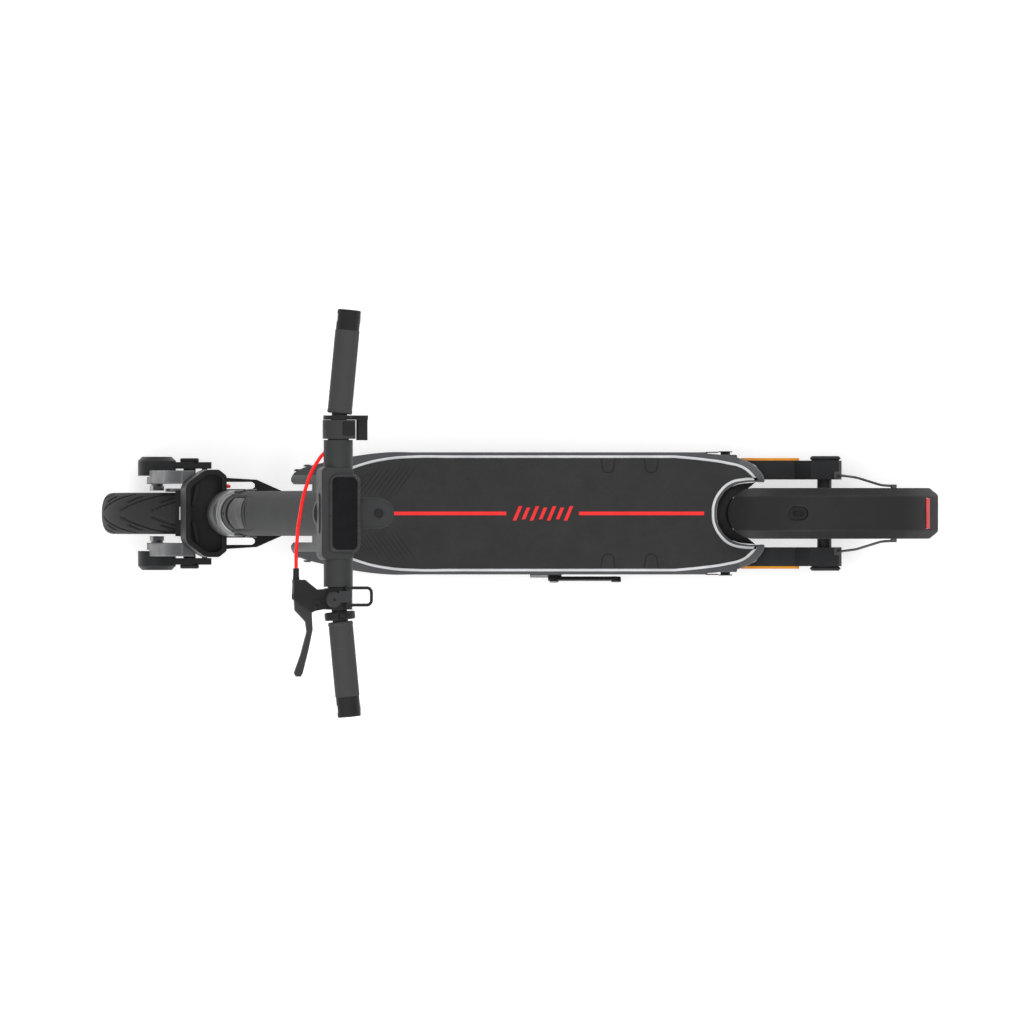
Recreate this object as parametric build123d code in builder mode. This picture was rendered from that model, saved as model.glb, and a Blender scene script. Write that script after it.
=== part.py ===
"""Electric kick scooter with a folding stem, suspended wheels and a drum brake, as separate pieces.

Frame: +X is forward, +Y is the rider's left, +Z is up, and the origin lies on the ground under the
middle of the scooter. All sizes are in millimetres.
"""

from build123d import *
from math import asin, cos, degrees, pi, radians, sin, sqrt
import os

os.makedirs("parts", exist_ok=True)

# ------------------------------------------------------------------ driving dimensions
# Wheels
tyre_radius = 127.0
tyre_width = 60.0
tyre_crown = 24.0
front_axle_x = 477.6
wheelbase = 918.8
axle_radius = 6.5

# Steering axis and stem
steer_ground_x = 479.5
steer_tilt = 10.3
head_radius = 33.0
head_low = 346.0
head_length = 92.0
crown_low = 296.0
crown_top = 342.0
steerer_radius = 15.0
stem_radius = 32.0
stem_wall = 3.5
bar_height = 1238.0
hinge_pin_x = 385.0
hinge_pin_z = 450.0
pin_radius = 5.0

# Handlebar
bar_half_length = 285.5
bar_middle_radius = 20.5
bar_end_radius = 11.0
sweep_start = 120.0
sweep_angle = 5.5
grip_radius = 17.5
grip_start = 152.0
grip_end = 257.5

# Deck
deck_half_width = 88.4
deck_low = 90.0
deck_top = 156.0
cover_thickness = 3.0
mat_thickness = 4.0
mat_inset = 9.0
deck_rear_cut_radius = 45.0
neck_width = 60.0

# Suspension
front_pivot_x = 524.7
front_pivot_z = 135.0
shock_x = 456.0
shock_y = 52.0
shock_eye_z = 118.0
rear_pivot_z = 106.0
rear_spring_y = 62.0

# Fits
running_fit = 0.06
loose_fit = 0.3
gap = 0.8

# ------------------------------------------------------------------ worked-out values
axle_z = tyre_radius
rim_radius = tyre_radius - 47.0
rear_axle_x = front_axle_x - wheelbase
rear_pivot_x = rear_axle_x + 143.2
rear_spring_x = rear_axle_x + 106.2
deck_rear_cut_x = rear_axle_x + 156.4
frame_low = deck_low + cover_thickness
head_top = head_low + head_length
t = radians(steer_tilt)
bar_distance = bar_height / cos(t)

steer_base = Plane(origin=(steer_ground_x, 0, 0), x_dir=(cos(t), 0, sin(t)), z_dir=(-sin(t), 0, cos(t)))
steer_side = Plane(origin=(steer_ground_x, 0, 0), x_dir=(cos(t), 0, sin(t)), z_dir=(0, -1, 0))
bar_plane = steer_base.offset(bar_distance)


def at_y(y):
    """Side plane at this Y: sketch x is +X, sketch y is +Z, and extrusions run towards -Y."""
    return Plane.XZ.offset(-y)


def steer_at_y(y):
    """Side plane at this Y whose sketch y runs up the steering axis."""
    return steer_side.offset(-y)


def in_steer(x, z):
    """A point of the side view, measured across and along the steering axis."""
    across = (x - steer_ground_x) * cos(t) + z * sin(t)
    along = -(x - steer_ground_x) * sin(t) + z * cos(t)
    return across, along


def bar_point(forward, left, up):
    """A point measured from the middle of the handlebar, square to the stem."""
    return bar_plane.from_local_coords(Vector(forward, left, up))


def bar_direction(forward, left, up):
    """A direction measured in the handlebar's own axes."""
    return bar_point(forward, left, up) - bar_plane.origin


def across_bar(left):
    """Plane square to the bar's straight part: sketch x is forward and sketch y is up the stem."""
    return Plane(origin=bar_point(0, left, 0), x_dir=bar_direction(1, 0, 0), z_dir=bar_direction(0, -1, 0))


def along_grip(distance):
    """Plane square to the left end of the bar, this far along its swept-back part."""
    back = sin(radians(sweep_angle))
    out = cos(radians(sweep_angle))
    start = bar_point(-back * distance, sweep_start + out * distance, 0)
    return Plane(origin=start, x_dir=bar_direction(0, 0, 1), z_dir=bar_direction(-back, out, 0))


pin_across, pin_along = in_steer(hinge_pin_x, hinge_pin_z)

# ================================================================== deck
ear_tip_x = 332.0
ear_inner = 42.0
ear_outer = 71.0
deck_front_x = 300.0
horn_tip_x = rear_axle_x + 86.2
cut_centre_x = deck_rear_cut_x - deck_rear_cut_radius
shoulder_x = 209.0
rear_corner_x = rear_axle_x + 154.2


def deck_half(front_x, half, ear_in, ear_out, tip_x, rear_x):
    """Left half of the deck's outline, from the front centre round to the rear wheel cut-out."""
    arc_middle = (cut_centre_x + deck_rear_cut_radius * cos(pi / 4), deck_rear_cut_radius * sin(pi / 4))
    Polyline(
        (deck_rear_cut_x, 0),
        (front_x, 0),
        (front_x, ear_in),
        (tip_x, ear_in),
        (tip_x, ear_out - 5),
        (tip_x - 6, ear_out),
        (tip_x - 40, ear_out),
        (shoulder_x + 32, half - 6.4),
        (shoulder_x, half),
        (rear_corner_x, half),
        (rear_corner_x - 39, half - 9.4),
        (rear_corner_x - 56, half - 22.4),
        (rear_x, deck_rear_cut_radius),
        (cut_centre_x, deck_rear_cut_radius),
    )
    ThreePointArc((cut_centre_x, deck_rear_cut_radius), arc_middle, (deck_rear_cut_x, 0))


cavity_front = 205.0
cavity_rear = rear_corner_x + 25.0
cavity_half = deck_half_width - 14.4
cavity_height = 52.0
horn_low = 132.0
lug_inner = deck_half_width - 9.9
pivot_shaft_radius = 7.0
pivot_lug_radius = 16.0
screw_y = deck_half_width - 7.9
screw_rows = 5
screw_first = cavity_rear + 22
screw_step = (cavity_front - 11 - screw_first) / (screw_rows - 1)
screw_xs = [screw_first + row * screw_step for row in range(screw_rows)]
screw_radius = 1.8
screw_head_radius = 3.6
bolt_xs = [307.0, 321.0]
bolt_z = 122.0
bolt_radius = 4.0
screw_spots = [(x, y) for x in screw_xs for y in (-screw_y, screw_y)]

with BuildPart() as deck_frame:
    with BuildSketch(Plane.XY.offset(frame_low)):
        with BuildLine():
            deck_half(deck_front_x, deck_half_width, ear_inner, ear_outer, ear_tip_x, horn_tip_x)
        make_face()
        mirror(about=Plane.XZ)
    extrude(amount=deck_top - frame_low)
    top_edges = deck_frame.faces().sort_by(Axis.Z)[-1].outer_wire().edges()
    chamfer(top_edges, length=2.5)
    # Open space under the horns for the rear swing arms, with a lug left at each side
    with BuildSketch(Plane.XY.offset(frame_low)):
        with Locations(((horn_tip_x + rear_pivot_x + 26) / 2 - 5, 0)):
            Rectangle(rear_pivot_x + 26 - horn_tip_x + 10, 2 * lug_inner)
        with Locations((horn_tip_x + (rear_pivot_x - pivot_lug_radius - horn_tip_x) / 2 - 5, 0)):
            Rectangle(rear_pivot_x - pivot_lug_radius - horn_tip_x + 10, 2 * deck_half_width + 4)
    extrude(amount=horn_low - frame_low, mode=Mode.SUBTRACT)
    # Bay for the battery and the controller, open below
    with BuildSketch(Plane.XY.offset(frame_low)):
        with Locations(((cavity_front + cavity_rear) / 2, 0)):
            RectangleRounded(cavity_front - cavity_rear, 2 * cavity_half, 10)
    extrude(amount=cavity_height, mode=Mode.SUBTRACT)
    with BuildSketch(Plane.XY.offset(frame_low)):
        with Locations(screw_spots):
            Circle(screw_radius + 0.1)
    extrude(amount=10, mode=Mode.SUBTRACT)
    # Bores for the rear pivot shaft and the neck bolts
    with BuildSketch(at_y(deck_half_width + 1)):
        with Locations((rear_pivot_x, rear_pivot_z)):
            Circle(pivot_shaft_radius + 0.1)
    extrude(amount=2 * deck_half_width + 2, mode=Mode.SUBTRACT)
    with BuildSketch(at_y(deck_half_width + 1)):
        with Locations([(x, bolt_z) for x in bolt_xs]):
            Circle(bolt_radius + 0.1)
    extrude(amount=2 * deck_half_width + 2, mode=Mode.SUBTRACT)
deck_frame.part.label = "deck_frame"
export_step(deck_frame.part, "parts/deck_frame.step")

mat_front_x = 285.0
mat_notch_xs = [rear_corner_x + 159.0, rear_corner_x + 96.5]
mat_notch_length = 17.7
mat_half = deck_half_width - mat_inset

with BuildPart() as deck_mat:
    with BuildSketch(Plane.XY.offset(deck_top)):
        with BuildLine():
            Polyline(
                (deck_rear_cut_x + 3, 0),
                (mat_front_x, 0),
                (mat_front_x, 34),
                (mat_front_x - 12, 46),
                (shoulder_x + 32, mat_half - 15),
                (shoulder_x - 23, mat_half - 2.8),
                (shoulder_x - 45, mat_half),
                (rear_corner_x + 62, mat_half),
                (rear_corner_x + 25, mat_half - 3.5),
                (rear_corner_x - 13, mat_half - 9),
                (rear_corner_x - 36.5, mat_half - 15.5),
                (rear_corner_x - 46.5, mat_half - 25),
                (rear_corner_x - 51, 53),
                (rear_corner_x - 35, 50.5),
                (rear_corner_x - 19.5, 46),
                (rear_corner_x - 5.5, 33),
                (rear_corner_x + 3.2, 15),
                (deck_rear_cut_x + 3, 0),
            )
        make_face()
        mirror(about=Plane.XZ)
        for notch_x in mat_notch_xs:
            with Locations((notch_x, mat_half), (notch_x, -mat_half)):
                Rectangle(mat_notch_length, 1.5, mode=Mode.SUBTRACT)
    extrude(amount=mat_thickness)
deck_mat.part.label = "deck_mat"
export_step(deck_mat.part, "parts/deck_mat.step")

cover_half = deck_half_width - 2.4
cover_front = cavity_front + 10
cover_rear = cavity_rear - 8
screw_head_height = 2.4

with BuildPart() as bottom_cover:
    with BuildSketch(Plane.XY.offset(deck_low)):
        with Locations(((cover_front + cover_rear) / 2, 0)):
            RectangleRounded(cover_front - cover_rear, 2 * cover_half, 6)
        with Locations(screw_spots):
            Circle(screw_radius + 0.1, mode=Mode.SUBTRACT)
    extrude(amount=cover_thickness)
    with BuildSketch(Plane.XY.offset(deck_low)):
        with Locations(screw_spots):
            Circle(screw_head_radius + 0.1)
    extrude(amount=screw_head_height, mode=Mode.SUBTRACT)
bottom_cover.part.label = "bottom_cover"
export_step(bottom_cover.part, "parts/bottom_cover.step")

bolt_head = 5.0
with BuildPart() as deck_screws:
    with BuildSketch(Plane.XY.offset(deck_low + 0.3)):
        with Locations(screw_spots):
            Circle(screw_head_radius)
    extrude(amount=screw_head_height - 0.3)
    with BuildSketch(Plane.XY.offset(deck_low + 0.3)):
        with Locations(screw_spots):
            Circle(screw_radius)
    extrude(amount=11)
    # Four neck bolts, each with its head outside an ear and its tip in the neck
    with BuildSketch(at_y(ear_outer + bolt_head)):
        with Locations([(x, bolt_z) for x in bolt_xs]):
            RegularPolygon(bolt_radius + 3, 6)
    extrude(amount=bolt_head)
    with BuildSketch(at_y(ear_outer)):
        with Locations([(x, bolt_z) for x in bolt_xs]):
            Circle(bolt_radius)
    extrude(amount=ear_outer - neck_width / 2 + 12)
    with BuildSketch(at_y(-ear_outer)):
        with Locations([(x, bolt_z) for x in bolt_xs]):
            RegularPolygon(bolt_radius + 3, 6)
    extrude(amount=bolt_head)
    with BuildSketch(at_y(-neck_width / 2 + 12)):
        with Locations([(x, bolt_z) for x in bolt_xs]):
            Circle(bolt_radius)
    extrude(amount=ear_outer - neck_width / 2 + 12)
    # Spacers between the neck and the ears
    for side_y in (ear_inner, -neck_width / 2):
        with BuildSketch(at_y(side_y)):
            with Locations([(x, bolt_z) for x in bolt_xs]):
                Circle(bolt_radius + 3)
        extrude(amount=ear_inner - neck_width / 2)
deck_screws.part.label = "deck_screws"
export_step(deck_screws.part, "parts/deck_screws.step")

controller_length = 96.0
battery_length = cavity_front - cavity_rear - controller_length - 41
battery_low = frame_low + 3
battery_height = 44.0
with BuildPart() as battery_pack:
    with BuildSketch(Plane.XY.offset(battery_low)):
        with Locations((cavity_rear + 8 + battery_length / 2, 0)):
            RectangleRounded(battery_length, 2 * cavity_half - 12, 6)
    extrude(amount=battery_height)
    fillet(battery_pack.edges().group_by(Axis.Z)[-1], 4)
battery_pack.part.label = "battery_pack"
export_step(battery_pack.part, "parts/battery_pack.step")

fin_count = 8
with BuildPart() as controller:
    with BuildSketch(Plane.XY.offset(battery_low)):
        with Locations((cavity_front - 10 - controller_length / 2, 0)):
            RectangleRounded(controller_length, 2 * cavity_half - 40, 4)
    extrude(amount=28)
    with BuildSketch(Plane.XY.offset(battery_low + 28)):
        with Locations((cavity_front - 10 - controller_length / 2, 0)):
            with GridLocations(0, (2 * cavity_half - 48) / fin_count, 1, fin_count):
                Rectangle(controller_length - 8, 4)
    extrude(amount=8)
controller.part.label = "controller"
export_step(controller.part, "parts/controller.step")

with BuildPart() as neck:
    with BuildSketch(at_y(neck_width / 2)):
        with BuildLine():
            Polyline(
                (deck_front_x + 0.2, frame_low + 4),
                (326, frame_low + 4),
                (325, 150),
                (329, 200),
                (350, 242),
                (370, 286),
                (377, 346),
                (404, 352),
                (392, 420),
                (372, 412),
                (344, 376),
                (318, 300),
                (302, 205),
                (deck_front_x + 0.2, 150),
                (deck_front_x + 0.2, frame_low + 4),
            )
        make_face()
    extrude(amount=neck_width)
    chamfer(neck.faces().filter_by(Axis.Y).edges(), length=2)
    with BuildSketch(steer_base.offset(head_low - 20)):
        Circle(head_radius)
    extrude(amount=head_length + 40, mode=Mode.SUBTRACT)
    with BuildSketch(at_y(neck_width / 2 + 1)):
        with Locations([(x, bolt_z) for x in bolt_xs]):
            Circle(bolt_radius + 0.1)
    extrude(amount=neck_width + 2, mode=Mode.SUBTRACT)
neck.part.label = "neck"
export_step(neck.part, "parts/neck.step")

bearing_radius = 25.0
bearing_height = 10.0
with BuildPart() as head_tube:
    with BuildSketch(steer_base.offset(head_low)):
        Circle(head_radius)
    extrude(amount=head_length)
    chamfer(head_tube.edges().filter_by(GeomType.CIRCLE).sort_by(Axis.Z)[-1], length=3)
    with BuildSketch(steer_base.offset(head_low)):
        Circle(bearing_radius - 3)
    extrude(amount=head_length, mode=Mode.SUBTRACT)
    for seat in (head_low, head_top - bearing_height):
        with BuildSketch(steer_base.offset(seat)):
            Circle(bearing_radius)
        extrude(amount=bearing_height, mode=Mode.SUBTRACT)
head_tube.part.label = "head_tube"
export_step(head_tube.part, "parts/head_tube.step")

with BuildPart() as headset_bearings:
    for seat in (head_low, head_top - bearing_height):
        with BuildSketch(steer_base.offset(seat)):
            Circle(bearing_radius - 0.02)
            Circle(steerer_radius + running_fit, mode=Mode.SUBTRACT)
        extrude(amount=bearing_height - 0.2)
headset_bearings.part.label = "headset_bearings"
export_step(headset_bearings.part, "parts/headset_bearings.step")

# ------------------------------------------------------------------ kickstand
stand_x = -50.0
stand_y = deck_half_width + 3.4
stand_z = 100.0
stand_splay = 10.0
stand_length = 88.0
stand_pin_radius = 4.0
stand_thickness = 5.0
stand_plane = Plane(
    origin=(stand_x, stand_y, stand_z),
    x_dir=(-1, 0, 0),
    z_dir=(0, cos(radians(stand_splay)), sin(radians(stand_splay))),
)

with BuildPart() as kickstand_bracket:
    with BuildSketch(stand_plane):
        with Locations((-12, 3)):
            RectangleRounded(46, 22, 4)
    extrude(amount=-8)
    with BuildSketch(Plane.XY.offset(frame_low - 20)):
        with Locations((stand_x, 0)):
            Rectangle(120, 2 * deck_half_width)
    extrude(amount=80, mode=Mode.SUBTRACT)
    with BuildSketch(stand_plane):
        Circle(stand_pin_radius)
    extrude(amount=stand_thickness + 1)
    with BuildSketch(stand_plane.offset(stand_thickness + 0.7)):
        Circle(stand_pin_radius + 2.5)
    extrude(amount=2)
kickstand_bracket.part.label = "kickstand_bracket"
export_step(kickstand_bracket.part, "parts/kickstand_bracket.step")

with BuildPart() as kickstand_leg:
    with BuildSketch(stand_plane.offset(0.35)):
        Circle(9)
        with Locations((stand_length / 2, 0)):
            Rectangle(stand_length, 10)
        with Locations((stand_length, 0)):
            Circle(6.5)
        Circle(stand_pin_radius + running_fit, mode=Mode.SUBTRACT)
    extrude(amount=stand_thickness)
    with BuildSketch(stand_plane.offset(0.35)):
        with Locations((stand_length + 2, 0)):
            SlotOverall(14, 9)
    extrude(amount=stand_thickness + 2)
kickstand_leg.part.label = "kickstand_leg"
export_step(kickstand_leg.part, "parts/kickstand_leg.step")

# ================================================================== rear swing arm
arm_inner = 49.0
arm_outer = 76.5
arm_boss_outer = 77.5
arm_top = 116.0
bridge_radius = 11.0
arm_tail_x = rear_axle_x - 24.8

shaft_head = 1.6
with BuildPart() as rear_pivot_shaft:
    with BuildSketch(at_y(deck_half_width)):
        with Locations((rear_pivot_x, rear_pivot_z)):
            Circle(pivot_shaft_radius)
    extrude(amount=2 * deck_half_width)
    for head_y in (deck_half_width + shaft_head, -deck_half_width):
        with BuildSketch(at_y(head_y)):
            with Locations((rear_pivot_x, rear_pivot_z)):
                Circle(pivot_shaft_radius + 3)
        extrude(amount=shaft_head)
rear_pivot_shaft.part.label = "rear_pivot_shaft"
export_step(rear_pivot_shaft.part, "parts/rear_pivot_shaft.step")

with BuildPart() as rear_swingarm:
    with BuildSketch(at_y(arm_outer)):
        with BuildLine():
            Polyline(
                (rear_pivot_x, rear_pivot_z - 13.5),
                (rear_pivot_x, arm_top),
                (rear_axle_x + 89.2, arm_top),
                (rear_axle_x + 43.2, arm_top + 2),
                (rear_axle_x + 19.2, axle_z + 17),
                (arm_tail_x + 4, axle_z + 17),
                (arm_tail_x, axle_z + 10),
                (arm_tail_x, axle_z - 14),
                (arm_tail_x + 8, axle_z - 20),
                (rear_axle_x + 23.2, axle_z - 24),
                (rear_axle_x + 61.2, rear_pivot_z - 14),
                (rear_pivot_x, rear_pivot_z - 13.5),
            )
        make_face()
        with Locations((rear_pivot_x, rear_pivot_z)):
            Circle(13.5)
    extrude(amount=arm_outer - arm_inner)
    with BuildSketch(at_y(arm_boss_outer)):
        with Locations((rear_axle_x, axle_z)):
            Circle(18)
    extrude(amount=arm_boss_outer - arm_outer)
    chamfer(rear_swingarm.faces().sort_by(Axis.Y)[-1].edges(), length=0.6)
    mirror(about=Plane.XZ)
    with BuildSketch(at_y(arm_inner)):
        with Locations((rear_pivot_x, rear_pivot_z)):
            Circle(bridge_radius)
    extrude(amount=2 * arm_inner)
    with BuildSketch(at_y(arm_outer + 1)):
        with Locations((rear_pivot_x, rear_pivot_z)):
            Circle(pivot_shaft_radius + running_fit)
    extrude(amount=2 * arm_outer + 2, mode=Mode.SUBTRACT)
    with BuildSketch(at_y(arm_boss_outer + 1)):
        with Locations((rear_axle_x, axle_z)):
            Circle(axle_radius)
    extrude(amount=2 * arm_boss_outer + 2, mode=Mode.SUBTRACT)
rear_swingarm.part.label = "rear_swingarm"
export_step(rear_swingarm.part, "parts/rear_swingarm.step")

hub_half = 27.0
shell_inner = rim_radius - 14.0
stator_core = shell_inner - 26.0
stator_teeth = 18
rear_nut = 4.0
with BuildPart() as rear_axle:
    with BuildSketch(at_y(arm_boss_outer + rear_nut + 1)):
        with Locations((rear_axle_x, axle_z)):
            Circle(axle_radius)
    extrude(amount=2 * (arm_boss_outer + rear_nut + 1))
    for nut_y in (arm_boss_outer + rear_nut, -arm_boss_outer):
        with BuildSketch(at_y(nut_y)):
            with Locations((rear_axle_x, axle_z)):
                RegularPolygon(11, 6)
        extrude(amount=rear_nut)
    for spacer_y in (arm_inner, -hub_half - gap):
        with BuildSketch(at_y(spacer_y)):
            with Locations((rear_axle_x, axle_z)):
                Circle(axle_radius + 4)
        extrude(amount=arm_inner - hub_half - gap)
    # Motor stator, fixed on the axle inside the hub
    with BuildSketch(at_y(15)):
        with Locations((rear_axle_x, axle_z)):
            Circle(stator_core)
            with PolarLocations(stator_core + 8, stator_teeth):
                Rectangle(24, 7)
    extrude(amount=30)
rear_axle.part.label = "rear_axle"
export_step(rear_axle.part, "parts/rear_axle.step")

reflector_front = rear_axle_x + 120.2
reflector_length = 84.0
with BuildPart() as rear_reflectors:
    with BuildSketch(at_y(arm_outer + 3.7)):
        with Locations((reflector_front - reflector_length / 2, rear_pivot_z - 1)):
            RectangleRounded(reflector_length, 13, 4)
    extrude(amount=3.7)
    mirror(about=Plane.XZ)
rear_reflectors.part.label = "rear_reflectors"
export_step(rear_reflectors.part, "parts/rear_reflectors.step")

# ------------------------------------------------------------------ rear fender
fender_half = 36.7
fender_flat = 25.0
fender_wall = 2.4
fender_lip = 18.0
fender_front_radius = tyre_radius + 19.0
fender_rear_radius = fender_front_radius + 44.7
fender_nose_angle = 73.4
fender_tail_angle = 59.2
fender_top = axle_z + fender_front_radius
fender_tail_x = rear_axle_x - fender_rear_radius * sin(radians(fender_tail_angle))
tail_centre_z = fender_top - fender_rear_radius
latch_x = rear_axle_x + 39.2
latch_length = 28.0
latch_width = 19.0
nose_x = rear_axle_x + fender_front_radius * sin(radians(fender_nose_angle))


def fender_section(top, half, flat, lip, wall):
    """Cross-section of a mudguard: a flat band, chamfered shoulders and turned-down lips."""
    with BuildSketch() as section:
        with BuildLine():
            Polyline(
                (-half, top - lip),
                (-half, top - 8),
                (-flat, top),
                (flat, top),
                (half, top - 8),
                (half, top - lip),
                (half - wall, top - lip),
                (half - wall, top - 8 - wall / 2),
                (flat - wall / 2, top - wall),
                (-flat + wall / 2, top - wall),
                (-half + wall, top - 8 - wall / 2),
                (-half + wall, top - lip),
                close=True,
            )
        make_face()
    return section.sketch


light_front_angle = degrees(asin((fender_tail_x + 18 - rear_axle_x) / -fender_rear_radius))
light_rear_angle = degrees(asin((fender_tail_x + 13 - rear_axle_x) / -fender_rear_radius))
light_angle = light_rear_angle - light_front_angle
light_half = 22.0


tail_centre = (rear_axle_x, 0, tail_centre_z)
tail_axis = Axis(tail_centre, (0, -1, 0))


def behind_top(angle):
    """Plane through the rear curve's centre, this many degrees behind the fender's top."""
    return Plane(origin=tail_centre, x_dir=(0, 1, 0), z_dir=(cos(radians(angle)), 0, sin(radians(angle))))


with BuildPart() as rear_fender:
    with BuildSketch(Plane.YZ.offset(rear_axle_x)):
        add(fender_section(fender_top, fender_half, fender_flat, fender_lip, fender_wall))
    revolve(axis=Axis((rear_axle_x, 0, axle_z), (0, 1, 0)), revolution_arc=fender_nose_angle)
    with BuildSketch(Plane.YZ.offset(rear_axle_x)):
        add(fender_section(fender_top, fender_half, fender_flat, fender_lip, fender_wall))
    revolve(axis=tail_axis, revolution_arc=fender_tail_angle)
    # Round nose and chamfered tail
    with BuildSketch(Plane.XY):
        with Locations((nose_x - fender_half / 2 + 10, 0)):
            Rectangle(fender_half + 20, 2 * fender_half + 10)
        with Locations((nose_x - fender_half, 0)):
            Circle(fender_half, mode=Mode.SUBTRACT)
    extrude(amount=fender_top + 10, mode=Mode.SUBTRACT)
    with BuildSketch(Plane.XY):
        with BuildLine():
            Polyline(
                (fender_tail_x - 5, fender_half - 14),
                (fender_tail_x + 14, fender_half + 1),
                (fender_tail_x - 5, fender_half + 1),
                (fender_tail_x - 5, fender_half - 14),
            )
        make_face()
        mirror(about=Plane.XZ)
    extrude(amount=fender_top, mode=Mode.SUBTRACT)
    with BuildSketch(Plane.XY.offset(fender_top - 30)):
        with Locations((latch_x, 0)):
            SlotOverall(latch_length + 2 * loose_fit, latch_width + 2 * loose_fit)
    extrude(amount=40, mode=Mode.SUBTRACT)
    with BuildSketch(behind_top(light_front_angle - 0.1)):
        with Locations((0, fender_rear_radius)):
            Rectangle(2 * light_half + 0.4, 12)
    revolve(axis=tail_axis, revolution_arc=light_angle + 0.2, mode=Mode.SUBTRACT)
rear_fender.part.label = "rear_fender"
export_step(rear_fender.part, "parts/rear_fender.step")

with BuildPart() as tail_light:
    with BuildSketch(behind_top(light_front_angle)):
        with Locations((0, fender_rear_radius - 1.5)):
            Rectangle(2 * light_half, 5)
    revolve(axis=tail_axis, revolution_arc=light_angle)
tail_light.part.label = "tail_light"
export_step(tail_light.part, "parts/tail_light.step")

latch_base_z = fender_top - 15
with BuildPart() as latch_button:
    with BuildSketch(Plane.XY.offset(latch_base_z)):
        with Locations((latch_x, 0)):
            SlotOverall(latch_length, latch_width)
    extrude(amount=11.5)
    fillet(latch_button.edges().group_by(Axis.Z)[-1], 2)
    with BuildSketch(Plane.XY.offset(latch_base_z + 11.5)):
        with Locations((latch_x, 0)):
            SlotOverall(latch_length - 12, latch_width - 10)
    extrude(amount=-4, mode=Mode.SUBTRACT)
latch_button.part.label = "latch_button"
export_step(latch_button.part, "parts/latch_button.step")

liner_z = horn_low
with BuildPart() as fender_liner:
    with BuildSketch(Plane.XY.offset(liner_z - 3)):
        with Locations((cut_centre_x, 0)):
            Circle(deck_rear_cut_radius + 5)
        with Locations((cut_centre_x - 62, 0)):
            Rectangle(120, 160, mode=Mode.SUBTRACT)
        with Locations((rear_axle_x, 0)):
            Rectangle(2 * (tyre_radius + 8), 2 * 38, mode=Mode.SUBTRACT)
    extrude(amount=3)
    with BuildSketch(Plane.XY.offset(frame_low)):
        with Locations((rear_pivot_x + 26 + 50, 0)):
            Rectangle(100, 200)
    extrude(amount=100, mode=Mode.SUBTRACT)
fender_liner.part.label = "fender_liner"
export_step(fender_liner.part, "parts/fender_liner.step")

stay_radius = 1.8
stay_foot_x = rear_axle_x - 18.8
stay_end_x = rear_axle_x - 98.8
stay_y = 55.0
stay_end_z = tail_centre_z + sqrt((fender_rear_radius - 13) ** 2 - (stay_end_x - rear_axle_x) ** 2)
with BuildPart() as fender_stays:
    with BuildLine() as stay_path:
        FilletPolyline(
            (stay_foot_x, stay_y, axle_z + 18),
            (stay_foot_x - 4, stay_y, axle_z + 50),
            (stay_foot_x - 26, stay_y - 3, axle_z + 84),
            (stay_end_x + 18, fender_half + 4, stay_end_z + 1),
            (stay_end_x, fender_half + stay_radius + 1, stay_end_z),
            radius=[22, 22, 14],
        )
    with BuildSketch(Plane(origin=stay_path.line @ 0, z_dir=stay_path.line % 0)):
        Circle(stay_radius)
    sweep(path=stay_path.line)
    with BuildSketch(at_y(fender_half + 5)):
        with Locations((stay_end_x, stay_end_z)):
            Circle(4.5)
    extrude(amount=5)
    with BuildSketch(Plane.XY.offset(axle_z + 17)):
        with Locations((stay_foot_x, stay_y)):
            RectangleRounded(10, 11, 2)
    extrude(amount=6)
    mirror(about=Plane.XZ)
fender_stays.part.label = "fender_stays"
export_step(fender_stays.part, "parts/fender_stays.step")

# ================================================================== wheels


def tyre_profile(half, bead_radius):
    """Open-bottomed tyre section, drawn across Y and up Z above the axle."""
    crown = tyre_crown / 2
    with BuildSketch() as section:
        with BuildLine():
            Polyline((-half + 6, bead_radius), (-half + 3, bead_radius + 8), (-half, tyre_radius - 22))
            ThreePointArc((-half, tyre_radius - 22), (-half + 4.9, tyre_radius - 6.9), (-crown, tyre_radius))
            Line((-crown, tyre_radius), (crown, tyre_radius))
            ThreePointArc((crown, tyre_radius), (half - 4.9, tyre_radius - 6.9), (half, tyre_radius - 22))
            Polyline(
                (half, tyre_radius - 22),
                (half - 3, bead_radius + 8),
                (half - 6, bead_radius),
                (half - 12, bead_radius),
                (half - 10, bead_radius + 10),
                (half - 9, tyre_radius - 20),
                (half - 14, tyre_radius - 11),
                (-half + 14, tyre_radius - 11),
                (-half + 9, tyre_radius - 20),
                (-half + 10, bead_radius + 10),
                (-half + 12, bead_radius),
                (-half + 6, bead_radius),
            )
        make_face()
    return section.sketch


def wheel_section(x):
    """Plane through a wheel's axle line: sketch x is across the wheel, sketch y is up from the axle."""
    return Plane(origin=(x, 0, axle_z), x_dir=(0, 1, 0), z_dir=(1, 0, 0))


def axle_line(x):
    return Axis((x, 0, axle_z), (0, 1, 0))


tyre_half = tyre_width / 2

with BuildPart() as rear_tyre:
    with BuildSketch(wheel_section(rear_axle_x)):
        add(tyre_profile(tyre_half, rim_radius))
    revolve(axis=axle_line(rear_axle_x))
rear_tyre.part.label = "rear_tyre"
export_step(rear_tyre.part, "parts/rear_tyre.step")

with BuildPart() as front_tyre:
    with BuildSketch(wheel_section(front_axle_x)):
        add(tyre_profile(tyre_half, rim_radius))
    revolve(axis=axle_line(front_axle_x))
front_tyre.part.label = "front_tyre"
export_step(front_tyre.part, "parts/front_tyre.step")

bead_half = tyre_half - 6.0


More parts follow.
